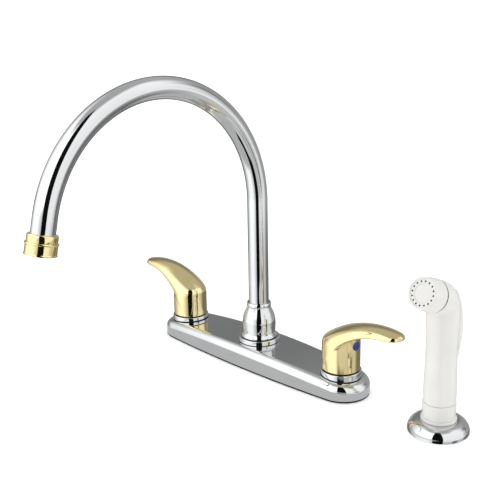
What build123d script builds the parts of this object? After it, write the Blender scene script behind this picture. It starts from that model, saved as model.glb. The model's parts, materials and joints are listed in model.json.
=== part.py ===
from build123d import *
import math
import os

# Two-handle kitchen faucet with a side sprayer, in millimetres.
# The origin is on the spout axis at the deck surface, +X runs to the cold handle and -Y to the user.

# Layout on the deck
HANDLE_CENTRES = 203.2
SPRAYER_OFFSET = 101.6
DECK_GAP = 32.0

# Clearances
RUN = 0.05
SEAT = 0.02
OPEN = 0.3

# Deck plate and its gasket
GASKET_THICK = 1.6
GASKET_BAND = 7.0
GASKET_INSET = 0.3
PLATE_OVERHANG = 26.2
PLATE_WIDTH = 56.6
PLATE_END_R = 24.0
PLATE_CREST = 20.6
PLATE_DROP = 4.0
PLATE_SHOULDER = 6.5
PLATE_WALL = 2.2

# Brass waterway under the plate
PORT_Z = 7.2
TUBE_OD = 9.53
TUBE_WALL = 1.0
TUBE_INSERT = 3.2
BODY_BOTTOM = 2.0
VALVE_BODY_R = 15.0
VALVE_BODY_TOP = 12.4
NECK_R = 13.0
NECK_TOP = 25.6
SHANK_R = 11.0
SHANK_LENGTH = 44.0
INLET_R = 10.45
INLET_LENGTH = 18.0
INLET_BORE_R = 6.2
SOCKET_R = 10.6
SOCKET_FLOOR = 3.2
SPOUT_BODY_R = 16.5
SPOUT_BODY_TOP = 16.0
POST_R = 13.2
POST_TOP = 37.0
POST_BORE_R = 10.6
POST_BORE_FLOOR = 18.0
DIVERTER_BORE_R = 8.2
HOSE_BOSS_R = 8.5
HOSE_BOSS_LENGTH = 12.0
HOSE_THREAD_R = 6.85
HOSE_THREAD_LENGTH = 16.0
HOSE_BORE_R = 4.0

# Mounting hardware below the deck
WASHER_R = 21.0
WASHER_THICK = 2.0
NUT_FLATS = 32.0
NUT_THICK = 8.0

# Quarter-turn cartridges
SEAL_THICK = 2.0
SEAL_BORE_R = 5.4
CAGE_WALL = 1.2
CAGE_TOP = 15.4
CAGE_SLOT = 7.0
DISC_R = 9.2
DISC_THICK = 2.8
DISC_PORT_R = 6.4
DISC_PORT_WEB = 1.2
STEM_R = 4.8
STEM_DRIVE_THICK = 3.0
STEM_TOP = 49.0
STEM_FLAT = 1.0
STEM_RING_Z = 21.0
STEM_RING_WIRE_R = 0.55
BONNET_FLATS = 22.0
BONNET_HEX_THICK = 6.0
BONNET_NOSE_R = 7.0
BONNET_NOSE_THICK = 2.4

# Lever handles
RING_R = 18.2
RING_TOP_R = 17.4
RING_TOP = 21.7
RING_BULGE = 0.35
LEVER_R = 17.0
LEVER_BOTTOM = 22.7
LEVER_REACH = 64.7
LEVER_TIP_R = 10.3
LEVER_TOP = 71.6
LEVER_APEX = 42.0
LEVER_RIDGE_R = 91.6
LEVER_CROWN_R = 21.0
LEVER_ARCH_END = 44.0
LEVER_ARCH_TOP = 64.0
LEVER_ARCH_R = 61.2
LEVER_ARCH_SLOPE = 5.5
LEVER_HOOD_SWING = 65.0
LEVER_TIP_UNDER = 65.6
LEVER_CREASE = 2.0
LEVER_POCKET_R = 14.6
LEVER_POCKET_TOP = 37.0
LEVER_BOSS_R = 8.0
LEVER_BOSS_BOTTOM = 35.0
INDEX_Z = 47.0
INDEX_R = 4.1
INDEX_DEPTH = 2.6
INDEX_PROUD = 1.1
SET_SCREW_R = 2.4
SET_SCREW_LENGTH = 6.0

# Spout
SPOUT_RING_R = 19.5
SPOUT_RING_TOP = 24.9
SPOUT_OD = 19.05
SPOUT_WALL = 1.2
SPOUT_RISE = 157.6
SPOUT_BEND_R = 111.4
SPOUT_BEND_DEG = 167.0
SPOUT_TAIL = 11.9
COLLAR_BOTTOM = 20.0
COLLAR_FLANGE = 3.0
COLLAR_SOCKET = 8.0
COLLAR_BORE_R = 6.6
SPOUT_SEAL_WIRE_R = 0.9
SPOUT_SEAL_LOW_Z = 22.5
SPOUT_SEAL_PITCH = 6.0
BEARING_THICK = 2.0
NUT_GAP = 0.4
SPOUT_RING_ROUND = 0.6
BELL_FOOT_R = 17.0
BELL_FOOT = 1.2
BELL_WAIST_R = 15.4
BELL_BELLY_R = 15.8
BELL_NECK_R = 11.1
BELL_LIP_R = 11.6
BELL_WAIST_Z = 29.6
BELL_BELLY_Z = 37.5
BELL_SHOULDER_Z = 46.5
BELL_NECK_Z = 54.6
BELL_TOP = 59.0
BELL_LIP = 2.6

# Outlet, measured along the spout's end
END_COLLAR_R = 11.8
END_COLLAR_LENGTH = 6.3
END_COLLAR_ROUND = 1.4
AERATOR_BEAD_R = 12.9
AERATOR_BEAD = 1.8
AERATOR_R = 12.3
AERATOR_LENGTH = 10.0
AERATOR_LIP_R = 12.6
AERATOR_LIP = 1.6
AERATOR_BORE_R = 10.6
AERATOR_THREAD_R = 10.9
INSERT_THICK = 6.0
INSERT_RECESS = 1.2
INSERT_HOLE_R = 0.9
AERATOR_WASHER = 1.5

# Diverter in the spout post
DIVERTER_BOTTOM = 4.0
DIVERTER_TOP = 17.6
DIVERTER_WALL = 1.8
DIVERTER_LIP_R = 3.6
POPPET_LENGTH = 6.0
POPPET_LIFT = 3.0
POPPET_STEM_R = 2.6

# Side sprayer
FLANGE_R = 24.7
FLANGE_RIM = 1.8
FLANGE_TOP = 9.6
FLANGE_TOP_R = 15.0
FLANGE_WALL = 1.6
GUIDE_LIP_R = 14.4
GUIDE_LIP = 2.6
GUIDE_R = 13.4
GUIDE_BORE_R = 12.2
GUIDE_LENGTH = 44.0
GUIDE_NUT_R = 19.0
GUIDE_NUT_THICK = 7.0
COUPLING_R = 13.5
COUPLING_TOP = 24.6
COUPLING_GROOVE = 0.5
TAIL_R = 11.7
TAIL_LENGTH = 20.0
SPIGOT_R = 9.0
SPIGOT_LENGTH = 5.0
INLET_SWIVEL_R = 6.8
INLET_SWIVEL_BORE_R = 4.0
INLET_SWIVEL_DROP = 6.0
HANDLE_FOOT_R = 13.3
HANDLE_WAIST_R = 12.6
HANDLE_WAIST_Z = 74.0
HEAD_R = 13.4
HEAD_BEND_R = 14.5
HEAD_AXIS_Z = 111.4
NOZZLE_TILT = 21.5
NOZZLE_RING_S = 16.4
NOZZLE_SEAL = 1.5
NOZZLE_SEAL_R = 13.3
CAP_R = 13.6
CAP_FACE_R = 12.7
CAP_LENGTH = 14.1
CAP_ROUND = 1.3
CAP_BORE_R = 10.9
FACE_THICK = 2.6
FACE_RECESS = 0.6
FACE_HOLES = 16
FACE_HOLE_R = 0.75
FACE_CIRCLE_R = 9.25
FACE_DISH_R = 7.6
FACE_DISH = 0.5
NOZZLE_BORE_R = 9.6
WATER_R = 2.6
WATER_LOW_Y = -4.0
WATER_HIGH_Y = -7.4

# Thumb trigger and sprayer valve
TRIGGER_WIDTH = 16.6
TRIGGER_SIDE = 0.4
TRIGGER_FOOT_Z = 61.0
TRIGGER_FOOT_Y = 12.8
TRIGGER_FOOT = 2.6
TRIGGER_BELLY_Z = 88.0
TRIGGER_BELLY_Y = 18.6
TRIGGER_HEAD_Z = 121.0
TRIGGER_HEAD_Y = 6.6
TRIGGER_INNER_Y = 10.0
TRIGGER_EDGE = 2.2
PIVOT_Y = 2.5
PIVOT_Z = 109.0
PIVOT_R = 1.5
PIVOT_HUB_R = 3.9
PIVOT_LENGTH = 22.0
SLOT_FLOOR_Y = 5.0
VALVE_Z = 76.0
VALVE_STEM_R = 1.9
VALVE_HEAD_R = 3.4
VALVE_HEAD = 1.6
VALVE_POCKET_R = 3.9
VALVE_POCKET_Y = 1.0
VALVE_CHAMBER_R = 4.6
VALVE_CHAMBER_FRONT = -10.2
VALVE_CHAMBER_BACK = -1.6
VALVE_SEAL_R = 4.0
VALVE_SEAL = 2.0
SPRING_WIRE_R = 0.35
SPRING_COIL_R = 2.6
SPRING_TURNS = 4.0

# Derived places
handle_x = HANDLE_CENTRES / 2
sprayer_x = handle_x + SPRAYER_OFFSET
half_length = handle_x + PLATE_OVERHANG
half_width = PLATE_WIDTH / 2
crown_r = (handle_x**2 + PLATE_DROP**2) / (2 * PLATE_DROP)
washer_top = -DECK_GAP
nut_top = washer_top - WASHER_THICK
disc_floor = SOCKET_FLOOR + SEAL_THICK
moving_floor = disc_floor + DISC_THICK + RUN
drive_floor = moving_floor + DISC_THICK
spout_r = SPOUT_OD / 2
spout_bore_r = spout_r - SPOUT_WALL
flange_floor = POST_TOP + RUN
flange_top = flange_floor + COLLAR_FLANGE
bearing_top = flange_top + RUN + BEARING_THICK
nut_floor = SPOUT_RING_TOP + NUT_GAP
bend = math.radians(SPOUT_BEND_DEG)
tail_start = Vector(0, -SPOUT_BEND_R * (1 - math.cos(bend)), SPOUT_RISE + SPOUT_BEND_R * math.sin(bend))
outlet_way = Vector(0, -math.sin(bend), math.cos(bend))
outlet = Plane(origin=tail_start + outlet_way * SPOUT_TAIL, x_dir=(1, 0, 0), z_dir=outlet_way)
nozzle_way = Vector(0, -math.cos(math.radians(NOZZLE_TILT)), math.sin(math.radians(NOZZLE_TILT)))
nozzle = Plane(origin=Vector(sprayer_x, 0, HEAD_AXIS_Z), x_dir=(1, 0, 0), z_dir=nozzle_way)
head_turn = math.radians(90 - NOZZLE_TILT)
bend_end_s = HEAD_BEND_R * (1 - math.cos(head_turn)) / math.cos(math.radians(NOZZLE_TILT))
bend_start_z = HEAD_AXIS_Z + bend_end_s * nozzle_way.Z - HEAD_BEND_R * math.sin(head_turn)


# Shared shapes
def rod(radius, low, high, x=0, y=0):
    """A cylinder standing on Z between two heights."""
    return Pos(x, y, low) * Cylinder(radius, high - low, align=(Align.CENTER, Align.CENTER, Align.MIN))


def pipe(outer, inner, low, high, x=0):
    """A plain tube standing on Z."""
    return rod(outer, low, high, x) - rod(inner, low, high, x)


def crossbar(radius, start, end, z, y=0):
    """A cylinder along X between two places."""
    bar = Cylinder(radius, abs(end - start), align=(Align.CENTER, Align.CENTER, Align.MIN))
    return Pos(min(start, end), y, z) * Rot(0, 90, 0) * bar


def turned(*outline):
    """A body turned about Z from an outline of (radius, height) points and edges."""
    return revolve(Plane.XZ * make_face(outline), Axis.Z)


def turned_points(*points):
    """A body turned about Z from a closed outline of straight lines."""
    return turned(*Polyline(*points, close=True).edges())


def hexagon(flats, low, high, x=0):
    """A hexagonal bar standing on Z, given its width across flats."""
    prism = extrude(RegularPolygon(flats / 2, 6, major_radius=False), high - low)
    return Pos(x, 0, low) * prism


def ring_seal(radius, wire_r, z):
    """A round-section seal about Z."""
    return Pos(0, 0, z) * Torus(radius, wire_r)


def oval(inset):
    """The plate's outline: two end arcs and two long side arcs, moved in by an inset."""
    a = half_length - inset
    b = half_width - inset
    e = PLATE_END_R - inset
    side_r = ((a - e) ** 2 + b**2 - e**2) / (2 * (b - e))
    tangent_x = a - e + e * (a - e) / (side_r - e)
    tangent_y = e * (side_r - b) / (side_r - e)
    corners = [
        (tangent_x, tangent_y),
        (-tangent_x, tangent_y),
        (-tangent_x, -tangent_y),
        (tangent_x, -tangent_y),
    ]
    middles = [(0, b), (-a, 0), (0, -b), (a, 0)]
    arcs = [ThreePointArc(corners[i], middles[i], corners[(i + 1) % 4]) for i in range(4)]
    return make_face(arcs)


def plate_form(inset, shoulder):
    """The plate's crowned block with a rounded shoulder, moved in by an inset."""
    block = Pos(0, 0, GASKET_THICK) * extrude(oval(inset), PLATE_CREST)
    crown = Cylinder(crown_r - inset, PLATE_WIDTH * 2)
    block &= Pos(0, 0, PLATE_CREST - crown_r) * Rot(90, 0, 0) * crown
    top = block.faces().sort_by(Axis.Z)[-1]
    return fillet(top.edges(), shoulder)


# Deck plate, gasket and rings
plate_block = plate_form(0, PLATE_SHOULDER)


def make_deck_plate():
    plate = plate_block - plate_form(PLATE_WALL, PLATE_SHOULDER - PLATE_WALL)
    for x in (-handle_x, handle_x):
        plate -= rod(NECK_R + OPEN, 0, PLATE_CREST * 2, x)
    return plate - rod(POST_R + OPEN, 0, PLATE_CREST * 2)


def make_base_gasket():
    return extrude(oval(GASKET_INSET) - oval(GASKET_BAND), GASKET_THICK)


def make_lever_ring(x):
    """A turned ring on the valve neck, with its foot fitted to the plate."""
    shoulder_z = RING_TOP - (RING_R - RING_TOP_R)
    middle = ((RING_R + RING_TOP_R) / 2 + RING_BULGE / 2, (RING_TOP + shoulder_z) / 2 + RING_BULGE / 2)
    ring = turned(
        ThreePointArc((RING_R, shoulder_z), middle, (RING_TOP_R, RING_TOP)),
        *Polyline(
            (RING_TOP_R, RING_TOP),
            (NECK_R + RUN, RING_TOP),
            (NECK_R + RUN, GASKET_THICK),
            (RING_R, GASKET_THICK),
            (RING_R, shoulder_z),
        ).edges(),
    )
    return Pos(x, 0, 0) * ring - plate_block


def make_spout_ring():
    ring = pipe(SPOUT_RING_R, POST_R + RUN, GASKET_THICK, SPOUT_RING_TOP)
    ring = fillet(ring.edges().filter_by(GeomType.CIRCLE).sort_by(Axis.Z)[-2:], SPOUT_RING_ROUND)
    return ring - plate_block


# Waterway
def make_valve_body(x):
    body = rod(VALVE_BODY_R, BODY_BOTTOM, VALVE_BODY_TOP) + rod(NECK_R, VALVE_BODY_TOP, NECK_TOP)
    body += rod(SHANK_R, -SHANK_LENGTH, BODY_BOTTOM)
    body += rod(INLET_R, -SHANK_LENGTH - INLET_LENGTH, -SHANK_LENGTH)
    body -= rod(INLET_BORE_R, -SHANK_LENGTH - INLET_LENGTH, SOCKET_FLOOR)
    body -= rod(SOCKET_R, SOCKET_FLOOR, NECK_TOP)
    inward = -math.copysign(1, x)
    body -= crossbar(TUBE_OD / 2 + SEAT, inward * (VALVE_BODY_R - TUBE_INSERT), inward * VALVE_BODY_R, PORT_Z)
    body -= crossbar(TUBE_OD / 2 - TUBE_WALL, 0, inward * VALVE_BODY_R, PORT_Z)
    return Pos(x, 0, 0) * body


def make_spout_body():
    body = rod(SPOUT_BODY_R, BODY_BOTTOM, SPOUT_BODY_TOP) + rod(POST_R, SPOUT_BODY_TOP, POST_TOP)
    body += rod(HOSE_BOSS_R, -HOSE_BOSS_LENGTH, BODY_BOTTOM)
    body += rod(HOSE_THREAD_R, -HOSE_BOSS_LENGTH - HOSE_THREAD_LENGTH, -HOSE_BOSS_LENGTH)
    body -= rod(HOSE_BORE_R, -HOSE_BOSS_LENGTH - HOSE_THREAD_LENGTH, DIVERTER_BOTTOM)
    body -= rod(DIVERTER_BORE_R, DIVERTER_BOTTOM, POST_BORE_FLOOR)
    body -= rod(POST_BORE_R, POST_BORE_FLOOR, POST_TOP)
    for way in (-1, 1):
        socket = way * (SPOUT_BODY_R - TUBE_INSERT)
        body -= crossbar(TUBE_OD / 2 + SEAT, socket, way * SPOUT_BODY_R, PORT_Z)
        body -= crossbar(TUBE_OD / 2 - TUBE_WALL, 0, way * SPOUT_BODY_R, PORT_Z)
    return body


def make_crossover_tube(x):
    way = math.copysign(1, x)
    start = way * (SPOUT_BODY_R - TUBE_INSERT + SEAT)
    end = x - way * (VALVE_BODY_R - TUBE_INSERT + SEAT)
    return crossbar(TUBE_OD / 2, start, end, PORT_Z) - crossbar(TUBE_OD / 2 - TUBE_WALL, start, end, PORT_Z)


def make_washers():
    return [pipe(WASHER_R, SHANK_R + RUN, nut_top, washer_top, x) for x in (-handle_x, handle_x)]


def make_nuts():
    nuts = []
    for x in (-handle_x, handle_x):
        nut = hexagon(NUT_FLATS, nut_top - NUT_THICK, nut_top, x)
        nuts.append(nut - rod(SHANK_R + RUN, nut_top - NUT_THICK, nut_top, x))
    return nuts


# Cartridges
def disc_with_port(low):
    """A ceramic disc with a half-moon port."""
    port = rod(DISC_PORT_R, low, low + DISC_THICK)
    port &= Pos(DISC_PORT_WEB + DISC_R, 0, low) * Box(DISC_R * 2, DISC_R * 2, DISC_THICK * 4)
    return rod(DISC_R, low, low + DISC_THICK) - port


def make_seat_seal(x):
    return pipe(SOCKET_R - SEAT, SEAL_BORE_R, SOCKET_FLOOR, disc_floor, x)


def make_fixed_disc(x):
    return Pos(x, 0, 0) * disc_with_port(disc_floor)


def make_moving_disc(x):
    return Pos(x, 0, 0) * disc_with_port(moving_floor)


def make_cartridge_cage(x):
    cage = pipe(SOCKET_R - SEAT, SOCKET_R - SEAT - CAGE_WALL, disc_floor, CAGE_TOP)
    slot_height = drive_floor - disc_floor - CAGE_WALL
    cage -= Pos(0, 0, disc_floor + CAGE_WALL + slot_height / 2) * Box(SOCKET_R * 3, CAGE_SLOT, slot_height)
    return Pos(x, 0, 0) * cage


def make_bonnet(x):
    hex_top = NECK_TOP + BONNET_HEX_THICK
    bonnet = rod(SOCKET_R - SEAT, CAGE_TOP, NECK_TOP) + hexagon(BONNET_FLATS, NECK_TOP, hex_top)
    bonnet += rod(BONNET_NOSE_R, hex_top, hex_top + BONNET_NOSE_THICK)
    bonnet -= rod(STEM_R + RUN, CAGE_TOP, hex_top + BONNET_NOSE_THICK)
    return Pos(x, 0, 0) * bonnet


stem_ring_r = STEM_R - STEM_RING_WIRE_R
stem_groove_r = stem_ring_r - STEM_RING_WIRE_R - SEAT


def make_stem(x):
    stem = rod(DISC_R - RUN, drive_floor, drive_floor + STEM_DRIVE_THICK)
    stem += rod(STEM_R, drive_floor + STEM_DRIVE_THICK, STEM_TOP)
    groove = STEM_RING_WIRE_R + SEAT
    stem -= pipe(STEM_R * 2, stem_groove_r, STEM_RING_Z - groove, STEM_RING_Z + groove)
    flat = Box(STEM_R, STEM_R * 3, (STEM_TOP - INDEX_Z) * 4)
    flat_x = math.copysign(STEM_R - STEM_FLAT + STEM_R / 2, x)
    return Pos(x, 0, 0) * (stem - Pos(flat_x, 0, INDEX_Z) * flat)


def make_stem_ring(x):
    return Pos(x, 0, 0) * ring_seal(stem_ring_r, STEM_RING_WIRE_R, STEM_RING_Z)


# Levers, drawn with the arm along +X and mirrored for the hot side
lever_tip_x = LEVER_REACH - LEVER_TIP_R
ridge_centre_z = LEVER_TOP - LEVER_RIDGE_R
screw_start = STEM_R - STEM_FLAT + SEAT


def lever_plan():
    """The keyhole outline of the lever seen from above."""
    slope = math.asin((LEVER_R - LEVER_TIP_R) / lever_tip_x)
    hub = (LEVER_R * math.sin(slope), LEVER_R * math.cos(slope))
    tip = (lever_tip_x + LEVER_TIP_R * math.sin(slope), LEVER_TIP_R * math.cos(slope))
    return make_face([
        ThreePointArc(hub, (-LEVER_R, 0), (hub[0], -hub[1])),
        Line((hub[0], -hub[1]), (tip[0], -tip[1])),
        ThreePointArc((tip[0], -tip[1]), (LEVER_REACH, 0), tip),
        Line(tip, hub),
    ])


def lever_hood():
    """The crowned top of the lever, turned about an axis far below its apex."""
    half = LEVER_R * 1.15
    edge_r = LEVER_RIDGE_R - LEVER_CROWN_R + math.sqrt(LEVER_CROWN_R**2 - half**2)
    root_r = LEVER_RIDGE_R / 5
    section = make_face([
        ThreePointArc((-half, edge_r), (0, LEVER_RIDGE_R), (half, edge_r)),
        *Polyline((half, edge_r), (half, root_r), (-half, root_r), (-half, edge_r)).edges(),
    ])
    hood = revolve(Plane.YZ * section, Axis.Y, LEVER_HOOD_SWING * 2)
    return Pos(LEVER_APEX, 0, ridge_centre_z) * Rot(0, -LEVER_HOOD_SWING, 0) * hood


def lever_scoop():
    """The space under the arm, outside the round hub."""
    centre_x = LEVER_ARCH_END + LEVER_ARCH_R * math.sin(math.radians(LEVER_ARCH_SLOPE))
    centre_z = LEVER_ARCH_TOP - math.sqrt(LEVER_ARCH_R**2 - (centre_x - LEVER_ARCH_END) ** 2)

    def arch(x):
        return (x, centre_z + math.sqrt(LEVER_ARCH_R**2 - (centre_x - x) ** 2))

    far_x = LEVER_REACH * 1.2
    foot = arch(0)
    end = (LEVER_ARCH_END, LEVER_ARCH_TOP)
    side = make_face([
        ThreePointArc(foot, arch(LEVER_ARCH_END / 2), end),
        *Polyline(end, (far_x, LEVER_TIP_UNDER), (far_x, 0), (0, 0), foot).edges(),
    ])
    return extrude(Plane.XZ * side, LEVER_R * 2, both=True) - rod(LEVER_R, 0, LEVER_TOP)


def make_lever():
    lever = Pos(0, 0, LEVER_BOTTOM) * extrude(lever_plan(), LEVER_TOP)
    lever &= lever_hood()
    lever = fillet(lever.faces().filter_by(GeomType.TORUS)[0].outer_wire().edges(), LEVER_CREASE)
    lever -= lever_scoop()
    lever -= rod(LEVER_POCKET_R, LEVER_BOTTOM, LEVER_POCKET_TOP)
    lever += rod(LEVER_BOSS_R, LEVER_BOSS_BOTTOM, LEVER_POCKET_TOP + SEAT)
    lever -= rod(STEM_R + RUN, LEVER_BOSS_BOTTOM, STEM_TOP + OPEN)
    lever -= crossbar(SET_SCREW_R + SEAT, 0, LEVER_R * 2, INDEX_Z)
    return lever - crossbar(INDEX_R + SEAT, LEVER_R - INDEX_DEPTH, LEVER_R * 1.5, INDEX_Z)


def make_index_button():
    plug = crossbar(INDEX_R, LEVER_R - INDEX_DEPTH + SEAT, LEVER_R * 1.5, INDEX_Z)
    return plug & rod(LEVER_R + INDEX_PROUD, 0, LEVER_TOP)


def make_set_screw():
    return crossbar(SET_SCREW_R, screw_start, screw_start + SET_SCREW_LENGTH, INDEX_Z)


def on_side(shape, x):
    """Place a lever piece on the cold side, or mirrored on the hot side."""
    if x < 0:
        shape = mirror(shape, Plane.YZ)
    return Pos(x, 0, 0) * shape


# Spout
def make_spout_tube():
    """A bent tube: a rise, one long bend and a short tail."""
    def swept(radius):
        start = flange_top - COLLAR_SOCKET
        rise = rod(radius, start, SPOUT_RISE)
        section = Plane(origin=(0, 0, SPOUT_RISE)) * Circle(radius)
        hub = Axis((0, -SPOUT_BEND_R, SPOUT_RISE), (1, 0, 0))
        arc = revolve(section, hub, SPOUT_BEND_DEG)
        tail = Plane(origin=tail_start, x_dir=(1, 0, 0), z_dir=outlet_way) * Cylinder(
            radius, SPOUT_TAIL + END_COLLAR_LENGTH / 2, align=(Align.CENTER, Align.CENTER, Align.MIN)
        )
        return rise + arc + tail

    return swept(spout_r) - swept(spout_bore_r)


spout_seal_r = POST_BORE_R - RUN - SPOUT_SEAL_WIRE_R
spout_seal_heights = [SPOUT_SEAL_LOW_Z, SPOUT_SEAL_LOW_Z + SPOUT_SEAL_PITCH]


def make_spout_collar():
    """The brazed end fitting that turns in the post and carries the seals."""
    collar = rod(POST_BORE_R - RUN, COLLAR_BOTTOM, flange_floor) + rod(POST_R, flange_floor, flange_top)
    collar -= rod(COLLAR_BORE_R, COLLAR_BOTTOM, flange_top)
    collar -= rod(spout_r + SEAT, flange_top - COLLAR_SOCKET - SEAT, flange_top)
    groove = SPOUT_SEAL_WIRE_R + SEAT
    for z in spout_seal_heights:
        collar -= pipe(POST_BORE_R, spout_seal_r - groove, z - groove, z + groove)
    return collar


def make_spout_seals():
    return [ring_seal(spout_seal_r, SPOUT_SEAL_WIRE_R, z) for z in spout_seal_heights]


def make_bearing_ring():
    return pipe(POST_R, spout_r + OPEN, flange_top + RUN, bearing_top)


def make_spout_nut():
    """The bell-shaped nut that holds the spout on its post."""
    lip_z = BELL_TOP - BELL_LIP / 2
    outer = [
        Line((BELL_FOOT_R, nut_floor), (BELL_FOOT_R, nut_floor + BELL_FOOT)),
        Spline(
            (BELL_FOOT_R, nut_floor + BELL_FOOT),
            (BELL_WAIST_R, BELL_WAIST_Z),
            (BELL_BELLY_R, BELL_BELLY_Z),
            (BELL_BELLY_R - (BELL_BELLY_R - BELL_NECK_R) / 4, BELL_SHOULDER_Z),
            (BELL_NECK_R, BELL_NECK_Z),
        ),
        ThreePointArc((BELL_NECK_R, BELL_NECK_Z), (BELL_LIP_R, lip_z), (BELL_NECK_R, BELL_TOP)),
    ]
    inner = Polyline(
        (BELL_NECK_R, BELL_TOP),
        (spout_r + OPEN, BELL_TOP),
        (spout_r + OPEN, bearing_top),
        (POST_R + RUN, bearing_top),
        (POST_R + RUN, nut_floor),
        (BELL_FOOT_R, nut_floor),
    )
    return turned(*outer, *inner.edges())


# Outlet pieces, drawn along Z from the start of the end collar
def make_end_collar():
    collar = pipe(END_COLLAR_R, spout_r + SEAT, 0, END_COLLAR_LENGTH / 2)
    collar += pipe(END_COLLAR_R, AERATOR_THREAD_R + SEAT, END_COLLAR_LENGTH / 2, END_COLLAR_LENGTH)
    rim = collar.edges().filter_by(GeomType.CIRCLE).sort_by(Axis.Z)[:2].sort_by(SortBy.RADIUS)[-1]
    return outlet * fillet(rim, END_COLLAR_ROUND)


aerator_end = END_COLLAR_LENGTH + AERATOR_LENGTH
insert_end = aerator_end - INSERT_RECESS
insert_start = insert_end - INSERT_THICK


def make_aerator_housing():
    bead_end = END_COLLAR_LENGTH + AERATOR_BEAD
    lip_start = aerator_end - AERATOR_LIP
    thread_start = END_COLLAR_LENGTH / 2 + SEAT + OPEN
    outer = [
        Line((AERATOR_THREAD_R, thread_start), (AERATOR_THREAD_R, END_COLLAR_LENGTH + SEAT)),
        Line((AERATOR_THREAD_R, END_COLLAR_LENGTH + SEAT), (AERATOR_R, END_COLLAR_LENGTH + SEAT)),
        ThreePointArc(
            (AERATOR_R, END_COLLAR_LENGTH + SEAT),
            (AERATOR_BEAD_R, END_COLLAR_LENGTH + AERATOR_BEAD / 2),
            (AERATOR_R, bead_end),
        ),
        Line((AERATOR_R, bead_end), (AERATOR_R, lip_start)),
        ThreePointArc(
            (AERATOR_R, lip_start),
            (AERATOR_LIP_R, lip_start + AERATOR_LIP / 2),
            (AERATOR_R, aerator_end),
        ),
    ]
    inner = Polyline(
        (AERATOR_R, aerator_end),
        (AERATOR_BORE_R, aerator_end),
        (AERATOR_BORE_R, insert_start - AERATOR_WASHER),
        (spout_bore_r, insert_start - AERATOR_WASHER),
        (spout_bore_r, thread_start),
        (AERATOR_THREAD_R, thread_start),
    )
    return outlet * turned(*outer, *inner.edges())


def make_aerator_insert():
    """The flow straightener: a disc pierced by rings of holes."""
    disc = rod(AERATOR_BORE_R - SEAT, insert_start, insert_end)
    pitch = INSERT_HOLE_R * 2.9
    for ring in range(1, 4):
        holes = PolarLocations(ring * pitch, ring * 6) * Circle(INSERT_HOLE_R)
        disc -= Pos(0, 0, insert_start) * extrude(Sketch() + holes, INSERT_THICK)
    return outlet * disc


def make_aerator_washer():
    return outlet * pipe(AERATOR_BORE_R - SEAT, spout_bore_r, insert_start - AERATOR_WASHER, insert_start)


# Diverter
diverter_r = DIVERTER_BORE_R - SEAT
poppet_r = diverter_r - DIVERTER_WALL - RUN
poppet_floor = DIVERTER_BOTTOM + DIVERTER_WALL


def make_diverter_housing():
    housing = rod(diverter_r, DIVERTER_BOTTOM, DIVERTER_TOP)
    housing -= rod(diverter_r - DIVERTER_WALL, poppet_floor, DIVERTER_TOP - DIVERTER_WALL)
    housing -= rod(DIVERTER_LIP_R, DIVERTER_BOTTOM, DIVERTER_TOP)
    return housing - crossbar(TUBE_OD / 2 - TUBE_WALL, -diverter_r * 2, diverter_r * 2, PORT_Z)


def make_diverter_poppet():
    head = rod(poppet_r, poppet_floor + RUN, poppet_floor + RUN + POPPET_LENGTH)
    stem_top = COLLAR_BOTTOM - POPPET_LIFT - OPEN * 2
    return head + rod(POPPET_STEM_R, poppet_floor + RUN + POPPET_LENGTH, stem_top)


# Sprayer holder
def make_sprayer_flange():
    dome_mid = (FLANGE_R - (FLANGE_R - FLANGE_TOP_R) * 0.3, FLANGE_RIM + (FLANGE_TOP - FLANGE_RIM) * 0.72)
    inner_mid = (dome_mid[0] - FLANGE_WALL * 0.7, dome_mid[1] - FLANGE_WALL * 0.9)
    hole_r = GUIDE_R + SEAT
    inner_r = FLANGE_R - FLANGE_WALL
    outline = [
        Line((FLANGE_R, 0), (FLANGE_R, FLANGE_RIM)),
        ThreePointArc((FLANGE_R, FLANGE_RIM), dome_mid, (FLANGE_TOP_R, FLANGE_TOP)),
        *Polyline(
            (FLANGE_TOP_R, FLANGE_TOP),
            (hole_r, FLANGE_TOP),
            (hole_r, FLANGE_TOP - FLANGE_WALL),
            (FLANGE_TOP_R, FLANGE_TOP - FLANGE_WALL),
        ).edges(),
        ThreePointArc(
            (FLANGE_TOP_R, FLANGE_TOP - FLANGE_WALL), inner_mid, (inner_r, FLANGE_RIM / 2)
        ),
        *Polyline((inner_r, FLANGE_RIM / 2), (inner_r, 0), (FLANGE_R, 0)).edges(),
    ]
    return Pos(sprayer_x, 0, 0) * turned(*outline)


def make_sprayer_guide():
    lip_top = FLANGE_TOP + GUIDE_LIP
    guide = rod(GUIDE_LIP_R, FLANGE_TOP, lip_top) + rod(GUIDE_R, -GUIDE_LENGTH, FLANGE_TOP)
    guide -= rod(GUIDE_BORE_R, -GUIDE_LENGTH, lip_top)
    rims = guide.edges().filter_by(GeomType.CIRCLE).sort_by(Axis.Z)[-2:]
    return Pos(sprayer_x, 0, 0) * fillet(rims, GUIDE_LIP / 4)


def make_sprayer_nut():
    """A round lock nut with four thumb wings."""
    low = washer_top - GUIDE_NUT_THICK
    nut = rod(GUIDE_NUT_R, low, washer_top)
    for turn in range(4):
        wing = Box(GUIDE_NUT_R / 3, GUIDE_LIP, GUIDE_NUT_THICK)
        nut += Rot(0, 0, turn * 90) * Pos(GUIDE_NUT_R, 0, low + GUIDE_NUT_THICK / 2) * wing
    return Pos(sprayer_x, 0, 0) * (nut - rod(GUIDE_R + RUN, low, washer_top))


# Sprayer
coupling_floor = FLANGE_TOP + GUIDE_LIP + OPEN
handle_floor = COUPLING_TOP + COUPLING_GROOVE
spigot_top = handle_floor + SPIGOT_LENGTH


def make_sprayer_inlet():
    """The swivel end that a spray hose is crimped to."""
    low = -TAIL_LENGTH - INLET_SWIVEL_DROP
    return pipe(INLET_SWIVEL_R, INLET_SWIVEL_BORE_R, low, COUPLING_TOP, sprayer_x)


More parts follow.
